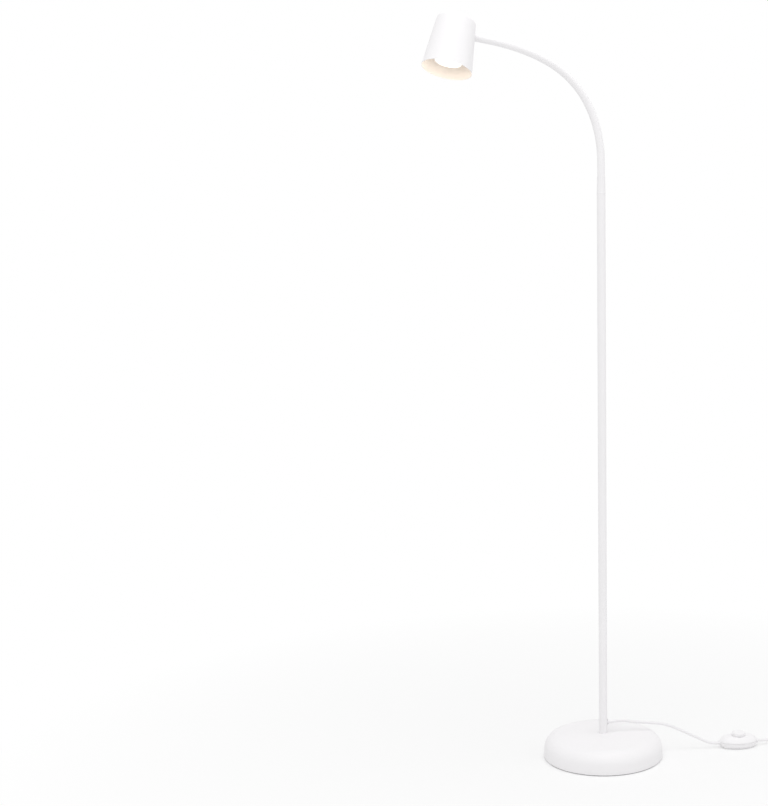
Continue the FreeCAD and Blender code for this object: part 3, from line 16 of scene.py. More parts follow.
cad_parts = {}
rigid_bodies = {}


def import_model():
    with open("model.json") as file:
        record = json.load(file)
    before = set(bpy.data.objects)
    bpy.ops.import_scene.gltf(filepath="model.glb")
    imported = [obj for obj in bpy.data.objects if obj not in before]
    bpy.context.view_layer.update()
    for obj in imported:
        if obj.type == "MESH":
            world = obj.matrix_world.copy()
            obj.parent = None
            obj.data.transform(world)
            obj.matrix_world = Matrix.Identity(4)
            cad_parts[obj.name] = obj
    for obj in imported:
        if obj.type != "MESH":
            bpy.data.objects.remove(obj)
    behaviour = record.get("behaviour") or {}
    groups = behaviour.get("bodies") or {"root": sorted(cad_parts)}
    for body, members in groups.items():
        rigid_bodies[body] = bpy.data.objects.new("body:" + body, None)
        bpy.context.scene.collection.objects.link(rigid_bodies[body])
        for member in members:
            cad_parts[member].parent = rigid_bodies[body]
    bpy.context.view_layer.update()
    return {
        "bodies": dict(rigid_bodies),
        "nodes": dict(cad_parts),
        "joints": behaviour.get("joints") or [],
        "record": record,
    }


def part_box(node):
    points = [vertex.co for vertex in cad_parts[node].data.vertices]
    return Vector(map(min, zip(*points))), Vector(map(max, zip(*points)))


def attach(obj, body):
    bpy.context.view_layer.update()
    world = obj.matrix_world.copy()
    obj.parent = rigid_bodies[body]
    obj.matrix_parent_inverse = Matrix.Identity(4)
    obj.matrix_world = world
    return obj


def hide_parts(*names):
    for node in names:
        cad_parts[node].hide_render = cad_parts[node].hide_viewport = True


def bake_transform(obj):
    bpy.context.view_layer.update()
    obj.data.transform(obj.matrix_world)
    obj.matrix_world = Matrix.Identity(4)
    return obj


LOG = logging.getLogger("reading_lamp")
MM = 0.001
MERGE_DISTANCE = 1e-6
AIM_HEIGHT = 0.7
SHADOW_REACH = (0.2, 1.2)
SHADOW_SHARE = (0.3, 1.0)
MIX_COLOUR_A, MIX_COLOUR_B, MIX_COLOUR_RESULT = 6, 7, 2
PIT_FINENESS = 3.7
DRIFT_BAND = (0.35, 0.65)
SMEAR_BAND = (0.3, 0.7)
SMEAR_DISTORTION = 1.2
SMEAR_FINENESS = 4

Ring = tuple[float, float, float]


# Finishes


Join = tuple[bpy.types.Node, str | int, bpy.types.Node, str | int]


def wire(tree: bpy.types.NodeTree, joins: list[Join]) -> None:
    """Links sockets of a node tree.

    Args:
        tree: the node tree.
        joins: for each link its first node and output, and its second node and input.
    """
    for source, output, target, entry in joins:
        tree.links.new(source.outputs[output], target.inputs[entry])


class Effect(Enum):
    """The effects that several finishes share, each a node group."""

    GRAIN = "surface_grain"
    DRIFT = "colour_drift"
    HANDLING = "handling_marks"


class EffectGroups:
    """Builds each shared effect once as a shader node group."""

    def __init__(self) -> None:
        """Starts with no group built."""
        self.built: dict[Effect, bpy.types.ShaderNodeTree] = {}

    def group(self, effect: Effect) -> bpy.types.ShaderNodeTree:
        """Gives the node group of an effect.

        Args:
            effect: the effect that is wanted.

        Returns:
            The node tree, built on first use.
        """
        if effect not in self.built:
            makers = {
                Effect.GRAIN: self.make_grain,
                Effect.DRIFT: self.make_drift,
                Effect.HANDLING: self.make_handling,
            }
            self.built[effect] = makers[effect]()
        return self.built[effect]

    @staticmethod
    def empty(
        effect: Effect, inputs: dict[str, str], outputs: dict[str, str]
    ) -> tuple[bpy.types.ShaderNodeTree, bpy.types.Node, bpy.types.Node]:
        """Makes a group with named sockets and nothing between them.

        Args:
            effect: the effect that the group is for.
            inputs: socket name to socket type.
            outputs: socket name to socket type.

        Returns:
            The tree, its input node and its output node.
        """
        tree = bpy.data.node_groups.new(effect.value, "ShaderNodeTree")
        for name, kind in inputs.items():
            tree.interface.new_socket(name=name, in_out="INPUT", socket_type=kind)
        for name, kind in outputs.items():
            tree.interface.new_socket(name=name, in_out="OUTPUT", socket_type=kind)
        return tree, tree.nodes.new("NodeGroupInput"), tree.nodes.new("NodeGroupOutput")

    def make_grain(self) -> bpy.types.ShaderNodeTree:
        """Fine grain of a coat or a moulded skin: an orange peel with finer pits in it.

        Returns:
            The group.
        """
        tree, source, target = self.empty(
            Effect.GRAIN,
            {"Vector": "NodeSocketVector", "Scale": "NodeSocketFloat", "Pits": "NodeSocketFloat"},
            {"Height": "NodeSocketFloat"},
        )
        peel = tree.nodes.new("ShaderNodeTexNoise")
        peel.inputs["Detail"].default_value = 2.0
        finer = tree.nodes.new("ShaderNodeMath")
        finer.operation = "MULTIPLY"
        finer.inputs[1].default_value = PIT_FINENESS
        pits = tree.nodes.new("ShaderNodeTexVoronoi")
        blend = tree.nodes.new("ShaderNodeMix")
        wire(tree, [
            (source, "Vector", peel, "Vector"),
            (source, "Scale", peel, "Scale"),
            (source, "Scale", finer, 0),
            (source, "Vector", pits, "Vector"),
            (finer, 0, pits, "Scale"),
            (source, "Pits", blend, "Factor"),
            (peel, "Fac", blend, "A"),
            (pits, "Distance", blend, "B"),
            (blend, "Result", target, "Height"),
        ])
        return tree

    def make_drift(self) -> bpy.types.ShaderNodeTree:
        """Slow drift between a finish's colour and its second tone.

        Returns:
            The group.
        """
        tree, source, target = self.empty(
            Effect.DRIFT,
            {
                "Vector": "NodeSocketVector",
                "Scale": "NodeSocketFloat",
                "Colour": "NodeSocketColor",
                "Tone": "NodeSocketColor",
            },
            {"Colour": "NodeSocketColor"},
        )
        clouds = tree.nodes.new("ShaderNodeTexNoise")
        clouds.inputs["Detail"].default_value = 3.0
        spread = tree.nodes.new("ShaderNodeMapRange")
        spread.inputs["From Min"].default_value, spread.inputs["From Max"].default_value = DRIFT_BAND
        blend = tree.nodes.new("ShaderNodeMix")
        blend.data_type = "RGBA"
        wire(tree, [
            (source, "Vector", clouds, "Vector"),
            (source, "Scale", clouds, "Scale"),
            (clouds, "Fac", spread, "Value"),
            (spread, "Result", blend, "Factor"),
            (source, "Colour", blend, MIX_COLOUR_A),
            (source, "Tone", blend, MIX_COLOUR_B),
            (blend, MIX_COLOUR_RESULT, target, "Colour"),
        ])
        return tree

    def make_handling(self) -> bpy.types.ShaderNodeTree:
        """Roughness between two values, in the smears that hands and cloths leave.

        Returns:
            The group.
        """
        tree, source, target = self.empty(
            Effect.HANDLING,
            {
                "Vector": "NodeSocketVector",
                "Scale": "NodeSocketFloat",
                "Smooth": "NodeSocketFloat",
                "Rough": "NodeSocketFloat",
            },
            {"Roughness": "NodeSocketFloat"},
        )
        smears = tree.nodes.new("ShaderNodeTexNoise")
        smears.inputs["Detail"].default_value = 5.0
        smears.inputs["Distortion"].default_value = SMEAR_DISTORTION
        spread = tree.nodes.new("ShaderNodeMapRange")
        spread.inputs["From Min"].default_value, spread.inputs["From Max"].default_value = SMEAR_BAND
        wire(tree, [
            (source, "Vector", smears, "Vector"),
            (source, "Scale", smears, "Scale"),
            (smears, "Fac", spread, "Value"),
            (source, "Smooth", spread, "To Min"),
            (source, "Rough", spread, "To Max"),
            (spread, "Result", target, "Roughness"),
        ])
        return tree


@dataclass(frozen=True)
class Finish:
    """One finish: its colours, its gloss and its grain. Scales are per metre."""

    name: str
    colour: tuple[float, float, float]
    tone: tuple[float, float, float]
    smooth: float
    rough: float
    grain: float
    depth: float
    pits: float = 0.2
    drift: float = 6.0
    metallic: float = 0.0
    specular: float = 0.5
    glow: tuple[float, float, float] = (0.0, 0.0, 0.0)
    glow_strength: float = 0.0

    def material(self, effects: EffectGroups) -> bpy.types.Material:
        """Gives the finish's material, built on first use.

        Args:
            effects: the shared node groups.

        Returns:
            The material.
        """
        ready = bpy.data.materials.get(self.name)
        if ready is not None:
            return ready
        material = bpy.data.materials.new(self.name)
        material.use_nodes = True
        tree = material.node_tree
        shader = tree.nodes["Principled BSDF"]
        place = tree.nodes.new("ShaderNodeTexCoord").outputs["Object"]
        drift = self.placed_group(tree, effects.group(Effect.DRIFT), place, self.drift)
        drift.inputs["Colour"].default_value = (*self.colour, 1.0)
        drift.inputs["Tone"].default_value = (*self.tone, 1.0)
        tree.links.new(drift.outputs["Colour"], shader.inputs["Base Color"])
        handling = self.placed_group(tree, effects.group(Effect.HANDLING), place, SMEAR_FINENESS * self.drift)
        handling.inputs["Smooth"].default_value = self.smooth
        handling.inputs["Rough"].default_value = self.rough
        tree.links.new(handling.outputs["Roughness"], shader.inputs["Roughness"])
        grain = self.placed_group(tree, effects.group(Effect.GRAIN), place, self.grain)
        grain.inputs["Pits"].default_value = self.pits
        bump = tree.nodes.new("ShaderNodeBump")
        bump.inputs["Strength"].default_value = 1.0
        bump.inputs["Distance"].default_value = self.depth
        wire(tree, [
            (grain, "Height", bump, "Height"),
            (bump, "Normal", shader, "Normal"),
        ])
        constants = {
            "Metallic": self.metallic,
            "Specular IOR Level": self.specular,
            "Emission Color": (*self.glow, 1.0),
            "Emission Strength": self.glow_strength,
        }
        for socket, value in constants.items():
            shader.inputs[socket].default_value = value
        return material

    @staticmethod
    def placed_group(
        tree: bpy.types.ShaderNodeTree,
        group: bpy.types.ShaderNodeTree,
        place: bpy.types.NodeSocket,
        scale: float,
    ) -> bpy.types.Node:
        """Places a shared group in a material.

        Args:
            tree: the material's node tree.
            group: the shared effect.
            place: the socket with the coordinates that the effect follows.
            scale: the effect's scale, per metre.

        Returns:
            The group's node.
        """
        node = tree.nodes.new("ShaderNodeGroup")
        node.node_tree = group
        node.inputs["Scale"].default_value = scale
        tree.links.new(place, node.inputs["Vector"])
        return node


WHITE_COAT = Finish(
    "white_powder_coat", (0.905, 0.893, 0.905), (0.890, 0.880, 0.890), 0.46, 0.54, 900, 0.00002, specular=0.4
)
WHITE_SLEEVE = Finish(
    "white_neck_sleeve", (0.915, 0.903, 0.915), (0.900, 0.890, 0.900), 0.52, 0.60, 700, 0.00001, specular=0.35
)
# The inside coat has a faint warm emission: a painted glow that stands in for the lamp's light bouncing round
# the inside of the shade.
SHADE_INSIDE_WITH_PAINTED_GLOW = Finish(
    "shade_inside_coat_painted_glow", (0.90, 0.885, 0.86), (0.88, 0.86, 0.83), 0.48, 0.56, 900, 0.00003,
    glow=(1.0, 0.78, 0.60), glow_strength=0.10,
)
SWITCH_SHELL = Finish(
    "switch_moulding", (0.915, 0.903, 0.915), (0.900, 0.890, 0.900), 0.42, 0.50, 1300, 0.00002, specular=0.4
)
WHITE_CORD = Finish(
    "white_cord_jacket", (0.89, 0.88, 0.89), (0.87, 0.86, 0.87), 0.46, 0.56, 1500, 0.00002, specular=0.35
)
WHITE_PLUG = Finish(
    "white_plug_moulding", (0.90, 0.89, 0.90), (0.88, 0.87, 0.88), 0.42, 0.52, 1500, 0.00003
)
FLOOR_FOAM = Finish(
    "floor_pad_foam", (0.42, 0.42, 0.43), (0.36, 0.36, 0.37), 0.85, 0.95, 700, 0.0003, pits=0.8
)
CAST_IRON = Finish(
    "weight_casting", (0.10, 0.10, 0.105), (0.16, 0.155, 0.15), 0.6, 0.8, 260, 0.0003, metallic=0.6
)
BRIGHT_ZINC = Finish(
    "bright_zinc", (0.66, 0.67, 0.69), (0.56, 0.57, 0.60), 0.22, 0.40, 420, 0.00003, metallic=1.0
)
STEEL_HOSE = Finish(
    "steel_hose", (0.52, 0.52, 0.53), (0.42, 0.42, 0.44), 0.3, 0.45, 500, 0.00005, metallic=1.0
)
GREY_INSERT = Finish("insert_moulding", (0.30, 0.30, 0.31), (0.26, 0.26, 0.27), 0.5, 0.6, 900, 0.00004)
STEATITE = Finish("steatite_holder", (0.80, 0.77, 0.70), (0.74, 0.70, 0.62), 0.45, 0.6, 800, 0.00006)
LAMP_BODY = Finish("lamp_body_moulding", (0.86, 0.86, 0.85), (0.82, 0.82, 0.81), 0.35, 0.45, 1000, 0.00004)
LAMP_GLOW = Finish(
    "lit_lens", (0.9, 0.88, 0.82), (0.88, 0.85, 0.78), 0.35, 0.45, 600, 0.0001,
    glow=(1.0, 0.86, 0.68), glow_strength=1.4,
)
NICKEL = Finish(
    "nickel_contacts", (0.72, 0.70, 0.66), (0.64, 0.62, 0.58), 0.2, 0.32, 700, 0.00002, metallic=1.0
)
WIRE_JACKET = Finish("wire_jacket", (0.62, 0.60, 0.55), (0.55, 0.53, 0.48), 0.45, 0.55, 1500, 0.00004)
CONTACT_BLOCK = Finish("contact_block", (0.07, 0.07, 0.075), (0.10, 0.10, 0.105), 0.5, 0.6, 1000, 0.00005)
SPRING_STEEL = Finish(
    "spring_steel", (0.48, 0.48, 0.50), (0.40, 0.40, 0.42), 0.25, 0.35, 900, 0.00002, metallic=1.0
)
TIE_BAND = Finish("tie_band", (0.80, 0.80, 0.79), (0.74, 0.74, 0.73), 0.5, 0.6, 1600, 0.00008)


# The workbench


class Workbench:
    """Ways of making, placing and dressing a piece, shared by all sub-assemblies."""

    def __init__(self, nodes: dict[str, bpy.types.Object]) -> None:
        """Keeps the frame's nodes at hand.

        Args:
            nodes: node name to the frame's object.
        """
        self.nodes = nodes
        self.effects = EffectGroups()

    @staticmethod
    def ringed(name: str, rings: list[Ring], sides: int = 96, capped: bool = True) -> bpy.types.Object:
        """Draws a piece up ring by ring from a circle, and fills what stays open flat.

        Args:
            name: the piece's name.
            rings: half width along X, half width along Y and height of each ring, in metres.
            sides: how many sides each ring has.
            capped: whether open ends are filled.

        Returns:
            The piece, about the Z axis. A last ring like the first one closes it into a loop.
        """
        bpy.ops.object.select_all(action="DESELECT")
        bpy.ops.mesh.primitive_circle_add(vertices=sides, radius=1.0, fill_type="NOTHING")
        piece = bpy.context.object
        piece.name = name
        piece.data.name = name
        bpy.ops.object.mode_set(mode="EDIT")
        bpy.ops.mesh.select_all(action="SELECT")
        half_x, half_y, height = rings[0]
        bpy.ops.transform.resize(value=(half_x, half_y, 1), center_override=(0, 0, 0))
        bpy.ops.transform.translate(value=(0, 0, height))
        for next_x, next_y, next_height in rings[1:]:
            rise = (0, 0, next_height - height)
            bpy.ops.mesh.extrude_region_move(TRANSFORM_OT_translate={"value": rise})
            growth = (next_x / half_x, next_y / half_y, 1)
            bpy.ops.transform.resize(value=growth, center_override=(0, 0, next_height))
            half_x, half_y, height = next_x, next_y, next_height
        bpy.ops.mesh.select_all(action="SELECT")
        bpy.ops.mesh.remove_doubles(threshold=MERGE_DISTANCE)
        if capped:
            bpy.ops.mesh.select_all(action="DESELECT")
            bpy.ops.mesh.select_non_manifold()
            bpy.ops.mesh.fill_holes(sides=0)
            bpy.ops.mesh.select_all(action="SELECT")
        bpy.ops.mesh.normals_make_consistent(inside=False)
        bpy.ops.object.mode_set(mode="OBJECT")
        return piece

    def turned(self, name: str, outline: list[tuple[float, float]], sides: int = 96) -> bpy.types.Object:
        """A piece that is round about the Z axis.

        Args:
            name: the piece's name.
            outline: radius and height of each ring, in metres.
            sides: how many sides each ring has.

        Returns:
            The piece.
        """
        return self.ringed(name, [(radius, radius, height) for radius, height in outline], sides)

    @staticmethod
    def smooth(piece: bpy.types.Object, angle: float = 40.0) -> None:
        """Shades a piece smooth, but for its sharp edges.

        Args:
            piece: the piece.
            angle: edges sharper than this stay sharp, in degrees.
        """
        bpy.ops.object.select_all(action="DESELECT")
        piece.select_set(True)
        bpy.context.view_layer.objects.active = piece
        bpy.ops.object.shade_smooth_by_angle(angle=math.radians(angle))

    @staticmethod
    def put(piece: bpy.types.Object, place: Matrix) -> None:
        """Puts a piece at its place, and that place into its mesh.

        Args:
            piece: the piece, made about the origin.
            place: where it goes.
        """
        piece.data.transform(place)
        piece.data.update()

    @staticmethod
    def bend_along(piece: bpy.types.Object, line: Callable[[float], Matrix]) -> None:
        """Bends a piece that was drawn up along Z so that it follows a line.

        Args:
            piece: the straight piece.
            line: gives the line's frame at a height of the straight piece.
        """
        for vertex in piece.data.vertices:
            across = Vector((vertex.co.x, vertex.co.y, 0))
            vertex.co = line(vertex.co.z) @ across
        piece.data.update()

    def finished(
        self, piece: bpy.types.Object, finish: Finish, slot: str, replaced: list[str], body: str | None
    ) -> bpy.types.Object:
        """Dresses a piece and ties it to the frame.

        Args:
            piece: the piece.
            finish: its finish.
            slot: the name of a material slot; not used.
            replaced: the nodes that it stands for.
            body: the body that it rides on, or None to leave it unattached.

        Returns:
            The same piece.
        """
        piece.data.materials.clear()
        piece.data.materials.append(finish.material(self.effects))
        if body is not None:
            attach(piece, body)
        if replaced:
            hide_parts(*replaced)
        LOG.info("%s: %s", piece.name, finish.name)
        return piece

    def dress(self, names: list[str], finish: Finish) -> None:
        """Gives a finish to nodes of the frame that keep their shape.

        Args:
            names: the nodes' names.
            finish: their finish.
        """
        for name in names:
            node = self.nodes[name]
            node.data.materials.clear()
            node.data.materials.append(finish.material(self.effects))
            LOG.info("%s: %s", name, finish.name)


def arc(
    centre: tuple[float, float], radius: float, start: float, end: float, steps: int = 8
) -> list[tuple[float, float]]:
    """Points of an arc in an outline of radius and height.

    Args:
        centre: the arc's centre, as radius and height.
        radius: the arc's own radius.
        start: the angle of its first point in degrees, from outwards towards upwards.
        end: the angle of its last point.
        steps: how many stretches it is divided into.

    Returns:
        The points in order.
    """
    angles = [math.radians(start + (end - start) * step / steps) for step in range(steps + 1)]
    return [(centre[0] + radius * math.cos(a), centre[1] + radius * math.sin(a)) for a in angles]


# Base


@dataclass
class Base:
    """The weighted base: a pressed steel cover over a cast weight, on a thin floor pad."""

    bench: Workbench
    radius: float = 115.0 * MM
    foot: float = 1.5 * MM
    brow: float = 41.5 * MM
    crown: float = 47.0 * MM
    shoulder: float = 26.0 * MM
    sheet: float = 1.2 * MM
    hole: float = 5.2 * MM
    steps: int = 14

    def wall(self, inset: float) -> list[tuple[float, float]]:
        """The cover's outline from its rim to its middle.

        Args:
            inset: how far inside the outer surface the outline runs.

        Returns:
            Radius and height of each point.
        """
        side = self.radius - inset
        bend = self.shoulder - inset
        crown = self.crown - inset
        rise = self.crown - self.brow
        sphere = (self.radius**2 + rise**2) / (2 * rise) - inset
        floor_of_sphere = crown - sphere
        reach = side - bend
        height = floor_of_sphere + math.sqrt((sphere - bend) ** 2 - reach**2)
        lean = math.degrees(math.atan2(height - floor_of_sphere, reach))
        outline = arc((reach, height), bend, 0, lean, self.steps)
        start = outline[-1][0]
        for step in range(1, self.steps + 1):
            radius = start + (self.hole - start) * step / self.steps
            outline.append((radius, floor_of_sphere + math.sqrt(sphere**2 - radius**2)))
        return outline

    def build(self) -> None:
        """Makes the cover with its rounded rim and dresses what the cover hides."""
        lip = self.sheet / 2
        rim = arc((self.radius - lip, self.foot + lip), lip, 180, 360, 6)
        outline = [*rim, *self.wall(0), *reversed(self.wall(self.sheet)), rim[0]]
        cover = self.bench.turned("base_dome", outline, sides=160)
        self.bench.smooth(cover, 50)
        self.bench.finished(cover, WHITE_COAT, "enamel", ["base_cover"], "stand")
        self.bench.dress(["floor_pad"], FLOOR_FOAM)
        self.bench.dress(["weight_plate"], CAST_IRON)
        self.bench.dress(["base_washer", "base_nut", "base_rod", "base_spacer"], BRIGHT_ZINC)


# Pole


@dataclass
class Pole:
    """The pole in two sections, its trim ring, its ferrule and the cord's strain relief."""

    bench: Workbench
    radius: float = 8.0 * MM
    flange: float = 5.8 * MM
    flange_thickness: float = 2.0 * MM
    boot_root: float = 4.1 * MM
    boot_tip: float = 3.4 * MM
    boot_length: float = 16.0 * MM
    passage: float = 2.92 * MM
    ribs: int = 4

    def build(self) -> None:
        """Dresses the pole's nodes and makes the strain relief."""
        self.bench.dress(["pole_lower", "pole_upper", "trim_ring", "neck_ferrule"], WHITE_COAT)
        self.bench.dress(["pole_foot_insert", "pole_coupler", "pole_top_insert"], GREY_INSERT)
        self.bench.dress(["neck_root_nipple"], BRIGHT_ZINC)
        self.bench.dress(["pole_wires"], WIRE_JACKET)
        self.make_strain_relief()

    def make_strain_relief(self) -> None:
        """Round flange against the pole, with a boot that tapers in ribs to the cord."""
        edge = self.flange_thickness / 3
        inside = -3.0 * MM
        neck = 4.0 * MM
        outline = [
            (self.passage, inside),
            (neck - 0.2 * MM, inside),
            (neck, inside + 0.2 * MM),
            (neck, 0.25 * MM),
            (self.flange - 0.2 * MM, 0.25 * MM),
            (self.flange, 0.5 * MM),
            *arc((self.flange - edge, self.flange_thickness - edge), edge, 0, 90, 5),
            (self.boot_root + 0.3 * MM, self.flange_thickness),
        ]
        groove = 0.35 * MM
        rib_length = self.boot_length * 0.8 / self.ribs
        for rib in range(self.ribs):
            start = self.flange_thickness + 0.3 * MM + rib * rib_length
            radius = self.boot_root + (self.boot_tip - self.boot_root) * rib / self.ribs
            outline += [
                (radius, start),
                (radius, start + 0.55 * rib_length),
                (radius - groove, start + 0.65 * rib_length),
                (radius - groove, start + 0.9 * rib_length),
            ]
        tip = self.flange_thickness + self.boot_length
        outline += [
            (self.boot_tip - 0.1 * MM, tip - 1.5 * MM),
            (self.boot_tip - 0.2 * MM, tip - 0.2 * MM),
            (self.passage + 0.1 * MM, tip),
            (self.passage, tip),
            (self.passage, inside),
        ]
        relief = self.bench.turned("strain_relief", outline, sides=48)
        low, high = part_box("cord_bushing")
        level = (low.z + high.z) / 2
        place = Matrix.Translation((self.radius, 0, level)) @ Matrix.Rotation(math.radians(90), 4, "Y")
        self.bench.put(relief, place)
        self.bench.smooth(relief, 35)
        self.bench.finished(relief, WHITE_PLUG, "plug", ["cord_bushing"], "stand")


# Neck


@dataclass
class Neck:
    """The bendable neck: a smooth sleeve over a wound steel hose."""

    bench: Workbench
    foot: float
    radius: float = 7.0 * MM
    wall: float = 0.9 * MM
    seat: float = 20.0 * MM
    root_stub: float = 27.5 * MM
    link: float = 55.0 * MM
    bends: tuple[float, ...] = (13.5, 15.5, 18.5, 17.0, 9.0, 7.5)
    head_stub: float = 28.5 * MM
    reach: float = 17.0 * MM
    ring_step: float = 2.5 * MM
    chain: tuple[str, ...] = (
        "stand",
        *(f"neck_link_{number}" for number in range(1, 7)),
        "head",
    )
    # The bend across this joint is described from the head's side.
    led_by_head: tuple[int, ...] = (3,)
    frames: list[Matrix] = field(default_factory=list)

    def __post_init__(self) -> None:
        """Works out the frame of each joint: on the neck's line, Z along it and Y across it."""
        frame = Matrix.Translation((0, 0, self.foot + self.root_stub))
        self.frames = [frame]
        for bend in self.bends:
            frame = frame @ self.along_link(bend, self.link)
            self.frames.append(frame)

    def along_link(self, bend: float, distance: float) -> Matrix:
        """The frame at a distance along a link, seen from the link's own start.

        Args:
            bend: the whole link's bend, in degrees.
            distance: the distance along it.

        Returns:
            The frame.
        """
        radius = self.link / math.radians(bend)
        angle = distance / radius
        step = Matrix.Translation((-radius * (1 - math.cos(angle)), 0, radius * math.sin(angle)))
        return step @ Matrix.Rotation(-angle, 4, "Y")

    def line(self, number: int, distance: float) -> Matrix:
        """The neck's frame at a distance from one of its joints.

        Args:
            number: which joint, from 0.
            distance: along the neck, negative towards the pole.

        Returns:
            The frame.
        """
        last = len(self.frames) - 1
        if distance < 0 and number == 0:
            return self.frames[0] @ Matrix.Translation((0, 0, distance))
        if distance < 0:
            back = self.along_link(self.bends[number - 1], self.link + distance)
            return self.frames[number - 1] @ back
        if number == last:
            return self.frames[last] @ Matrix.Translation((0, 0, distance))
        return self.frames[number] @ self.along_link(self.bends[number], distance)

    def build(self) -> None:
        """Makes the sleeve in one piece for each joint, curved along the neck's line from mid link to mid
        link.
        """
        last = len(self.frames) - 1
        for number in range(last + 1):
            start = -self.link / 2 if number else -self.root_stub - self.seat
            end = self.link / 2 if number < last else self.head_stub + 0.6 * MM
            count = round((end - start) / self.ring_step)
            heights = [start + (end - start) * step / count for step in range(count + 1)]
            rings = [(self.radius, self.radius, height) for height in heights]
            piece = self.bench.ringed(f"sleeve_bend_{number + 1}", rings, sides=48, capped=False)
            self.thicken(piece)
            self.bench.bend_along(piece, lambda distance, joint=number: self.line(joint, distance))
            self.bench.smooth(piece, 60)
            replaced = ["neck_sleeve_root"] if number == 0 else [f"neck_sleeve_{number}"]
            if number == last:
                replaced.append("neck_sleeve_head")
            self.bench.finished(piece, WHITE_SLEEVE, "sleeve", replaced, None)
            ends = [(self.chain[number], -self.reach), (self.chain[number + 1], self.reach)]
            if number in self.led_by_head:
                ends.reverse()
            (first, start), (second, end) = ends
            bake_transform(piece)
        hoses = ["neck_hose_root", "neck_hose_head", *[f"neck_hose_{n + 1}" for n in range(last)]]
        self.bench.dress(hoses, STEEL_HOSE)

    def thicken(self, piece: bpy.types.Object) -> None:
        """Gives a straight tube its wall, inwards.

        Args:
            piece: the tube, along Z.
        """
        bpy.ops.object.select_all(action="DESELECT")
        piece.select_set(True)
        bpy.context.view_layer.objects.active = piece
        wall = piece.modifiers.new("wall", "SOLIDIFY")
        wall.thickness = self.wall
        wall.offset = -1
        bpy.ops.object.modifier_apply(modifier=wall.name)

    def shade_wall(self, twist: float) -> Matrix:
        """Where the neck meets the shade's outside: Z inwards along the neck, Y across it.

        Args:
            twist: the shade's turn about the neck's end, in degrees.

        Returns:
            The frame.
        """
        end = self.frames[-1] @ Matrix.Translation((0, 0, self.head_stub))
        return end @ Matrix.Rotation(math.radians(twist), 4, "Z")


# Head


@dataclass
class Head:
    """The conical shade, and what it holds: bracket, lampholder and reflector lamp."""

    bench: Workbench
    neck: Neck
    twist: float = 11.5
    mouth: float = 45.4 * MM
    top: float = 34.6 * MM
    height: float = 96.5 * MM
    edge: float = 8.0 * MM
    sheet: float = 0.9 * MM
    entry_below_top: float = 24.0 * MM
    lamp_power: float = 0.016
    light_height: float = -2.0 * MM
    steps: int = 12

    @property
    def slant(self) -> float:
        """The lean of the shade's wall.

        Returns:
            The angle from upright, in radians.
        """
        return math.atan((self.mouth - self.top) / self.height)

    def frame(self) -> Matrix:
        """The shade's own frame: origin in the middle of the mouth, Z towards its top.

        Returns:
            The frame.
        """
        entry_height = self.height - self.entry_below_top
        entry_radius = self.top + (self.mouth - self.top) * self.entry_below_top / self.height
        entry = Matrix.Translation((entry_radius, 0, entry_height))
        entry = entry @ Matrix.Rotation(math.radians(-90) - self.slant, 4, "Y")
        return self.neck.shade_wall(self.twist) @ entry.inverted()

    def wall(self, inset: float, foot: float) -> list[tuple[float, float]]:
        """The shade's outline from near its mouth to the middle of its top.

        Args:
            inset: how far inside the outer surface the outline runs.
            foot: the height at which it starts.

        Returns:
            Radius and height of each point.
        """
        lean = self.slant
        edge = self.edge - inset
        level = self.height - inset
        centre_height = level - edge
        side = self.mouth - inset / math.cos(lean)
        centre = side - centre_height * math.tan(lean) - edge / math.cos(lean)
        degrees = math.degrees(lean)
        bend = arc((centre, centre_height), edge, degrees, 90, self.steps)
        outline = []
        for step in range(self.steps):
            height = foot + (bend[0][1] - foot) * step / self.steps
            outline.append((side - height * math.tan(lean), height))
        outline += bend
        outline += [(bend[-1][0] * share, level) for share in (0.8, 0.6, 0.4, 0.2, 0.05)]
        return outline

    def build(self) -> None:
        """Makes the shade and dresses the pieces inside it."""
        lip = self.sheet / 2
        middle = self.mouth - lip / math.cos(self.slant)
        rim = arc((middle, lip), lip, 180, 360, 6)
        outside = self.wall(0, self.sheet)
        inside = self.wall(self.sheet, self.sheet)
        shade = self.bench.turned("shade_shell", [*reversed(inside), *rim, *outside], sides=160)
        self.colour_inside(shade)
        self.bench.put(shade, self.frame())
        self.bench.smooth(shade, 50)
        zinc = ["head_nipple", "head_washer", "head_nut", "holder_bracket", "holder_screws"]
        self.bench.dress(zinc, BRIGHT_ZINC)
        self.bench.dress(["lampholder"], STEATITE)
        self.bench.dress(["head_wires"], WIRE_JACKET)
        self.bench.dress(["lamp_housing"], LAMP_BODY)
        self.bench.dress(["lamp_lens"], LAMP_GLOW)
        self.bench.dress(["lamp_pins"], NICKEL)
        self.light_up()

    def light_up(self) -> None:
        """Puts a warm light just in front of the lens, so that the lit lamp reaches the shade's inside."""
        lamp = bpy.data.lights.new("lamp_light", "POINT")
        lamp.energy = self.lamp_power
        lamp.color = (1.0, 0.78, 0.58)
        lamp.shadow_soft_size = 12 * MM
        holder = bpy.data.objects.new("lamp_light", lamp)
        holder.location = self.frame() @ Vector((0, 0, self.light_height))
        holder.visible_camera = False
        bpy.context.scene.collection.objects.link(holder)
        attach(holder, "lamp")

    def colour_inside(self, shade: bpy.types.Object) -> None:
        """Dresses the shade: enamel outside, and inside a softer coat with a faint painted warm glow that
        stands in for the lamp's light on the inner wall.

        Args:
            shade: the shade, still about the Z axis.
        """
        self.bench.finished(shade, WHITE_COAT, "enamel", ["shade"], "head")
        shade.data.materials.append(SHADE_INSIDE_WITH_PAINTED_GLOW.material(self.bench.effects))
        middle = Vector((0, 0, self.height / 2))
        for face in shade.data.polygons:
            outwards = Vector((face.center.x, face.center.y, 0))
            below_edge = face.center.z < self.height - 2 * self.edge
            faces_axis = below_edge and face.normal.dot(outwards) < 0
            under_top = face.normal.z < -0.5 and face.center.z > self.edge
            faces_middle = face.normal.dot(face.center - middle) < 0
            if faces_axis or under_top or faces_middle:
                face.material_index = 1


# Foot switch


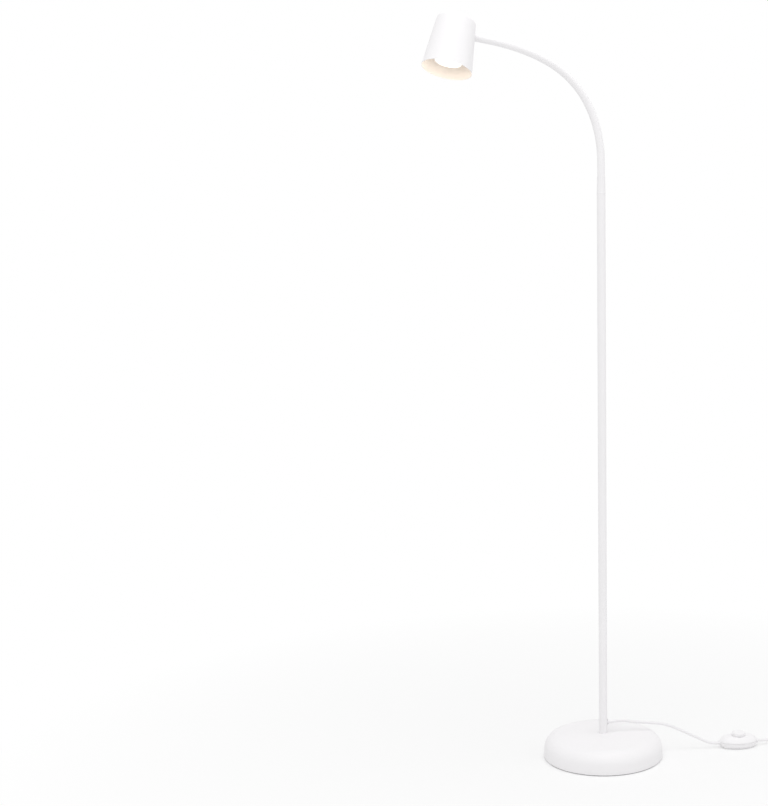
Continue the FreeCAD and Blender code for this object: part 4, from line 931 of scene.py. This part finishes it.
@dataclass
class FootSwitch:
    """The foot switch on the cord: two oval shells and a round push button."""

    bench: Workbench
    place: tuple[float, float] = (271.0 * MM, -39.0 * MM)
    turn: float = -8.0
    half_length: float = 38.4 * MM
    half_width: float = 24.0 * MM
    height: float = 23.0 * MM
    wall: float = 1.8 * MM
    cord_height: float = 10.0 * MM
    end_reach: float = 1.6 * MM
    button_radius: float = 12.7 * MM
    button_top: float = 31.0 * MM
    button_foot: float = 19.3 * MM
    button_flange: float = 14.6 * MM
    flange_height: float = 1.6 * MM

    def frame(self) -> Matrix:
        """The switch's frame: on the floor under its middle, X along the cord.

        Returns:
            The frame.
        """
        place = Matrix.Translation((*self.place, 0))
        return place @ Matrix.Rotation(math.radians(self.turn), 4, "Z")

    def cord_end(self, side: int, further: float = 0.0) -> Vector:
        """Where the cord meets the switch.

        Args:
            side: -1 on the lamp's side, 1 on the plug's side.
            further: how far beyond that end.

        Returns:
            The point.
        """
        reach = side * (self.half_length + self.end_reach + further)
        return self.frame() @ Vector((reach, 0, self.cord_height))

    def ovals(self, sections: list[tuple[float, float]]) -> list[Ring]:
        """Oval rings of the switch's outline.

        Args:
            sections: inset and height of each ring, in metres.

        Returns:
            The rings.
        """
        return [(self.half_length - inset, self.half_width - inset, height) for inset, height in sections]

    def build(self) -> None:
        """Makes both shells and the button, and dresses the pieces inside."""
        lower = [
            (10.0, 1.8), (10.0, 0.6), (8.6, 0.0), (7.4, 0.0), (6.2, 0.5), (4.9, 1.6), (3.5, 3.1), (2.2, 5.0),
            (1.2, 7.2), (0.5, 9.5), (0.25, 10.8), (0.2, 11.5), (0.55, 11.85), (1.8, 11.9), (2.0, 9.5),
            (4.0, 5.0), (9.0, 1.8),
        ]
        upper = [
            (1.8, 12.1), (0.5, 12.15), (0.15, 12.5), (0.2, 13.2), (0.6, 14.6), (1.25, 15.8), (2.0, 16.7),
            (2.9, 17.9), (3.9, 19.2), (5.2, 20.6), (6.6, 21.7), (8.2, 22.5), (9.6, 22.9), (10.4, 23.0),
        ]
        self.make_bottom(lower)
        self.make_top(upper)
        self.make_button()
        self.bench.dress(["contact_block"], CONTACT_BLOCK)
        self.bench.dress(["button_spring"], SPRING_STEEL)
        self.bench.dress(["switch_screws"], BRIGHT_ZINC)
        self.bench.dress(["switch_grommets", "switch_leads"], WHITE_CORD)

    def make_bottom(self, sections: list[tuple[float, float]]) -> None:
        """Makes the lower shell.

        Args:
            sections: inset and height of each oval ring round its wall, in millimetres.
        """
        rings = self.ovals([(inset * MM, height * MM) for inset, height in sections])
        rings.append(rings[0])
        shell = self.bench.ringed("switch_bottom", rings, sides=128)
        self.bench.put(shell, self.frame())
        self.bench.smooth(shell, 45)
        self.bench.finished(shell, SWITCH_SHELL, "switch_white", ["switch_lower_shell"], "stand")

    def make_top(self, sections: list[tuple[float, float]]) -> None:
        """Makes the upper shell: oval at the parting line, round where it meets the button.

        Args:
            sections: inset and height of each oval ring, in millimetres.
        """
        rings = self.ovals([(inset * MM, height * MM) for inset, height in sections])
        top_x, top_y, _ = rings[-1]
        collar = self.button_radius + 0.4 * MM
        for share in (0.25, 0.5, 0.75):
            half_x = top_x + (collar + 1.2 * MM - top_x) * share
            half_y = top_y + (collar + 1.2 * MM - top_y) * share
            rings.append((half_x, half_y, self.height))
        rings += [
            (collar + 0.5 * MM, collar + 0.5 * MM, self.height),
            (collar + 0.1 * MM, collar + 0.1 * MM, self.height - 0.2 * MM),
            (collar, collar, self.height - 0.5 * MM),
            (collar, collar, self.height - self.wall),
            (collar + 2.4 * MM, collar + 2.4 * MM, self.height - self.wall),
        ]
        under = [(9.6, 21.0), (6.6, 19.8), (4.6, 17.4), (2.9, 14.8), (2.0, 12.1)]
        rings += self.ovals([(inset * MM, height * MM) for inset, height in under])
        rings.append(rings[0])
        shell = self.bench.ringed("switch_top", rings, sides=128)
        self.bench.put(shell, self.frame())
        self.bench.smooth(shell, 45)
        self.bench.finished(shell, SWITCH_SHELL, "switch_white", ["switch_upper_shell"], "stand")

    def make_button(self) -> None:
        """Makes the push button: a cap with a rounded edge, a dished face and a flange below."""
        edge = 3.0 * MM
        inside = self.button_radius - self.wall
        outline = [
            (0.4 * MM, self.button_top - self.wall),
            (inside - 0.5 * MM, self.button_top - self.wall),
            (inside, self.button_top - self.wall - 0.5 * MM),
            (inside, self.button_foot),
            (self.button_flange, self.button_foot),
            (self.button_flange, self.button_foot + self.flange_height),
            (self.button_radius, self.button_foot + self.flange_height),
            (self.button_radius, self.button_top - 6 * MM),
            *arc((self.button_radius - edge, self.button_top - edge), edge, 0, 90, 8),
            (7.5 * MM, self.button_top - 0.15 * MM),
            (5.0 * MM, self.button_top - 0.35 * MM),
            (2.5 * MM, self.button_top - 0.45 * MM),
            (0.4 * MM, self.button_top - 0.5 * MM),
        ]
        button = self.bench.turned("switch_knob", outline, sides=96)
        self.bench.put(button, self.frame())
        self.bench.smooth(button, 35)
        self.bench.finished(button, SWITCH_SHELL, "switch_white", ["switch_button"], "foot_button")


# Cord


@dataclass
class SupplyCord:
    """The cord: to the foot switch, on along the floor, in its coil and to the plug."""

    bench: Workbench
    switch: FootSwitch
    radius: float = 2.9 * MM
    exit_point: tuple[float, float, float] = (26.0 * MM, 0.0, 68.0 * MM)
    to_switch_length: float = 219.4 * MM
    to_plug_length: float = 1467.7 * MM
    coil_lift: float = 0.8 * MM
    coil_outer: float = 43.5 * MM
    coil_pitch: float = 6.6 * MM
    coil_layer: float = 6.4 * MM
    coil_turns: float = 2.75
    coil_dip: float = 1.4 * MM
    points_per_turn: int = 16
    tiny_turn: float = 1e-4
    plug_level: float = 6.85 * MM

    def build(self) -> None:
        """Makes both lengths of the cord and says what they are."""
        first = self.spline("cord_before_switch", self.before_switch())
        self.bench.finished(first, WHITE_CORD, "cord", ["cord_to_switch"], "stand")
        second = self.spline("cord_after_switch", self.after_switch())
        stretches = ["cord_to_coil", "cord_coil", "cord_to_plug"]
        self.bench.finished(second, WHITE_CORD, "cord", stretches, "stand")
        self.bench.dress(["coil_tie"], TIE_BAND)
        self.bench.dress(["plug_body"], WHITE_PLUG)
        self.bench.dress(["plug_pins"], NICKEL)
        tuple(self.switch.cord_end(1))

    def spline(self, name: str, points: list[Vector]) -> bpy.types.Object:
        """Makes a round cord on one smooth spline.

        Args:
            name: the piece's name.
            points: the spline's control points.

        Returns:
            The curve object.
        """
        curve = bpy.data.curves.new(name, "CURVE")
        curve.dimensions = "3D"
        curve.bevel_depth = self.radius
        curve.bevel_resolution = 5
        curve.resolution_u = 8
        curve.use_fill_caps = True
        spline = curve.splines.new("NURBS")
        spline.points.add(len(points) - 1)
        for place, point in zip(spline.points, points):
            place.co = (*point, 1.0)
        spline.order_u = 3
        spline.use_endpoint_u = True
        cord = bpy.data.objects.new(name, curve)
        bpy.context.scene.collection.objects.link(cord)
        return cord

    def before_switch(self) -> list[Vector]:
        """The route from the strain relief over the base's rim and down to the switch.

        Returns:
            The control points.
        """
        start = Vector(self.exit_point)
        by_hand = [
            (65.0, -2.5, 62.2),
            (97.0, -6.5, 58.6),
            (129.0, -10.8, 53.0),
            (160.0, -15.5, 37.5),
            (187.0, -21.0, 23.5),
            (205.0, -26.5, 14.5),
        ]
        route = [start, start + Vector((13.0 * MM, 0, 0))]
        route += [Vector(point) * MM for point in by_hand]
        return [*route, self.switch.cord_end(-1, 14 * MM), self.switch.cord_end(-1)]

    def after_switch(self) -> list[Vector]:
        """The route from the switch through the coil to the plug.

        Returns:
            The control points.
        """
        level = self.coil_lift + self.radius
        coil_start = Vector((383.0 * MM, -22.5 * MM, level))
        before_coil = Vector((367.0 * MM, -35.0 * MM, level))
        route = [
            self.switch.cord_end(1),
            self.switch.cord_end(1, 17 * MM),
            Vector((347.0, -44.0, 5.6)) * MM,
            before_coil,
        ]
        coil = self.coil(coil_start, (coil_start - before_coil).normalized())
        heading = (coil[-1] - coil[-2]).normalized()
        by_hand = [(412.5, -4.0, 9.6), (435.0, -0.5, 8.6), (457.0, -7.0, 7.4)]
        route += coil
        route.append(coil[-1] + heading * 13 * MM)
        route += [Vector(point) * MM for point in by_hand]
        route.append(Vector((473.0 * MM, -22.5 * MM, self.plug_level)))
        route.append(Vector((478.0 * MM, -41.0 * MM, self.plug_level)))
        return route

    def coil_point(self, turn: float) -> Vector:
        """The coil's middle line after some turns, in the coil's own frame.

        Args:
            turn: how many turns, in towards the middle, up, and out again.

        Returns:
            The point.
        """
        total = 2 * self.coil_turns + 0.5
        radius, height = self.coil_outer - self.coil_pitch * turn, 0.0
        if turn >= self.coil_turns + 0.5:
            radius, height = self.coil_outer - self.coil_pitch * (total - turn), self.coil_layer
        elif turn > self.coil_turns:
            climb = (turn - self.coil_turns) / 0.5
            dip = self.coil_dip * math.sin(math.pi * climb) ** 2
            radius = self.coil_outer - self.coil_pitch * self.coil_turns - dip
            height = self.coil_layer * climb * climb * (3 - 2 * climb)
        angle = -2 * math.pi * turn
        return Vector((radius * math.cos(angle), radius * math.sin(angle), height))

    def coil(self, start: Vector, heading: Vector) -> list[Vector]:
        """The coil's points, from where the cord reaches it.

        Args:
            start: the coil's first point.
            heading: the cord's direction there.

        Returns:
            The points.
        """
        total = 2 * self.coil_turns + 0.5
        count = round(total * self.points_per_turn)
        points = [self.coil_point(total * step / count) for step in range(count + 1)]
        first = self.coil_point(self.tiny_turn) - points[0]
        outset = 1 / math.cos(math.pi / self.points_per_turn)
        turn = math.atan2(heading.y, heading.x) - math.atan2(first.y, first.x)
        about = Matrix.Rotation(turn, 3, "Z")
        shift = start - about @ points[0]
        controls = [points[0]]
        controls += [Vector((point.x * outset, point.y * outset, point.z)) for point in points[1:-1]]
        controls.append(points[-1])
        return [about @ point + shift for point in controls]


# Studio


@dataclass
class Studio:
    """A plain pale floor, soft light and the camera at the photograph's angle."""

    camera_place: tuple[float, float, float] = (-0.9645, -2.6499, 1.007)
    heading: float = -17.96
    tilt: float = 81.76
    roll: float = -0.51
    lens: float = 67.0
    sensor: float = 36.0
    shift: tuple[float, float] = (-0.205, 0.062)
    floor_reach: float = 30.0
    floor_colour: tuple[float, float, float] = (0.93, 0.93, 0.93)
    world_light: float = 0.70

    def build(self) -> None:
        """Sets up floor, world, lights and camera."""
        self.make_floor()
        self.make_world()
        self.make_light("key", (-1.6, -2.2, 3.2), 2.4, 27.0)
        self.make_light("fill", (2.6, -1.6, 2.2), 2.4, 8.0)
        self.make_light("top", (0.2, -0.3, 3.6), 2.0, 26.0)
        self.make_camera()
        bpy.context.scene.view_settings.view_transform = "Standard"

    def make_floor(self) -> None:
        """The floor: pale, bright to the camera, and dimmed where the lamp shades it."""
        bpy.ops.object.select_all(action="DESELECT")
        bpy.ops.mesh.primitive_plane_add(size=2 * self.floor_reach, location=(0, 0, 0))
        floor = bpy.context.object
        floor.name = "floor"
        material = bpy.data.materials.new("pale_floor")
        material.use_nodes = True
        tree = material.node_tree
        tree.nodes.clear()
        matt = tree.nodes.new("ShaderNodeBsdfDiffuse")
        matt.inputs["Color"].default_value = (*self.floor_colour, 1.0)
        bright = tree.nodes.new("ShaderNodeEmission")
        blend = tree.nodes.new("ShaderNodeMixShader")
        output = tree.nodes.new("ShaderNodeOutputMaterial")
        tree.links.new(self.seen_directly(tree, self.clearing(tree)), blend.inputs["Fac"])
        wire(tree, [
            (matt, "BSDF", blend, 1),
            (bright, "Emission", blend, 2),
            (blend, "Shader", output, "Surface"),
        ])
        floor.data.materials.append(material)

    @staticmethod
    def clearing(tree: bpy.types.ShaderNodeTree) -> bpy.types.NodeSocket:
        """How bright the floor is by itself: less beside the lamp, fully further away.

        Args:
            tree: the floor's node tree.

        Returns:
            The socket with that share.
        """
        place = tree.nodes.new("ShaderNodeTexCoord")
        distance = tree.nodes.new("ShaderNodeVectorMath")
        distance.operation = "LENGTH"
        share = tree.nodes.new("ShaderNodeMapRange")
        share.inputs["From Min"].default_value, share.inputs["From Max"].default_value = SHADOW_REACH
        share.inputs["To Min"].default_value, share.inputs["To Max"].default_value = SHADOW_SHARE
        wire(tree, [
            (place, "Object", distance, 0),
            (distance, "Value", share, "Value"),
        ])
        return share.outputs["Result"]

    @staticmethod
    def seen_directly(tree: bpy.types.ShaderNodeTree, share: bpy.types.NodeSocket) -> bpy.types.NodeSocket:
        """A share that counts only for rays from the camera, or by way of metal and glass.

        Args:
            tree: the node tree.
            share: the share's socket.

        Returns:
            The socket with the result.
        """
        path = tree.nodes.new("ShaderNodeLightPath")
        either = tree.nodes.new("ShaderNodeMath")
        either.operation = "MAXIMUM"
        any_of = tree.nodes.new("ShaderNodeMath")
        any_of.operation = "MAXIMUM"
        times = tree.nodes.new("ShaderNodeMath")
        times.operation = "MULTIPLY"
        wire(tree, [
            (path, "Is Camera Ray", either, 0),
            (path, "Is Glossy Ray", either, 1),
            (either, 0, any_of, 0),
            (path, "Is Transmission Ray", any_of, 1),
            (any_of, 0, times, 0),
        ])
        tree.links.new(share, times.inputs[1])
        return times.outputs[0]

    def make_world(self) -> None:
        """A white surrounding that is full white to the camera and softer as a light."""
        world = bpy.data.worlds.new("white_studio")
        bpy.context.scene.world = world
        world.use_nodes = True
        tree = world.node_tree
        light = tree.nodes["Background"]
        light.inputs["Color"].default_value = (1.0, 1.0, 1.0, 1.0)
        one = tree.nodes.new("ShaderNodeValue")
        one.outputs[0].default_value = 1.0
        strength = tree.nodes.new("ShaderNodeMapRange")
        strength.inputs["To Min"].default_value = self.world_light
        strength.inputs["To Max"].default_value = 1.0
        tree.links.new(self.seen_directly(tree, one.outputs[0]), strength.inputs["Value"])
        tree.links.new(strength.outputs["Result"], light.inputs["Strength"])

    @staticmethod
    def make_light(name: str, place: tuple[float, float, float], width: float, power: float) -> None:
        """Adds a soft square light that points at the lamp.

        Args:
            name: the light's name.
            place: where it hangs, in metres.
            width: its width.
            power: its power in watts.
        """
        lamp = bpy.data.lights.new(name, "AREA")
        lamp.shape = "SQUARE"
        lamp.size = width
        lamp.energy = power
        holder = bpy.data.objects.new(name, lamp)
        holder.location = place
        aim = Vector((0, 0, AIM_HEIGHT)) - Vector(place)
        holder.rotation_euler = aim.to_track_quat("-Z", "Y").to_euler()
        bpy.context.scene.collection.objects.link(holder)

    def make_camera(self) -> None:
        """The camera at the photograph's place and angle."""
        data = bpy.data.cameras.new("photo_view")
        data.lens = self.lens
        data.sensor_width = self.sensor
        data.shift_x, data.shift_y = self.shift
        camera = bpy.data.objects.new("photo_view", data)
        turn = Matrix.Rotation(math.radians(self.heading), 4, "Z")
        turn = turn @ Matrix.Rotation(math.radians(self.tilt), 4, "X")
        turn = turn @ Matrix.Rotation(math.radians(self.roll), 4, "Z")
        camera.matrix_world = Matrix.Translation(self.camera_place) @ turn
        bpy.context.scene.collection.objects.link(camera)
        bpy.context.scene.camera = camera


def main() -> None:
    """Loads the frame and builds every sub-assembly round it."""
    logging.basicConfig(level=logging.INFO)
    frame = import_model()
    bench = Workbench(frame["nodes"])
    Studio().build()
    switch = FootSwitch(bench)
    switch.build()
    SupplyCord(bench, switch).build()
    Base(bench).build()
    Pole(bench).build()
    neck = Neck(bench, foot=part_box("neck_ferrule")[1].z)
    neck.build()
    Head(bench, neck).build()


if __name__ == "__main__":
    main()
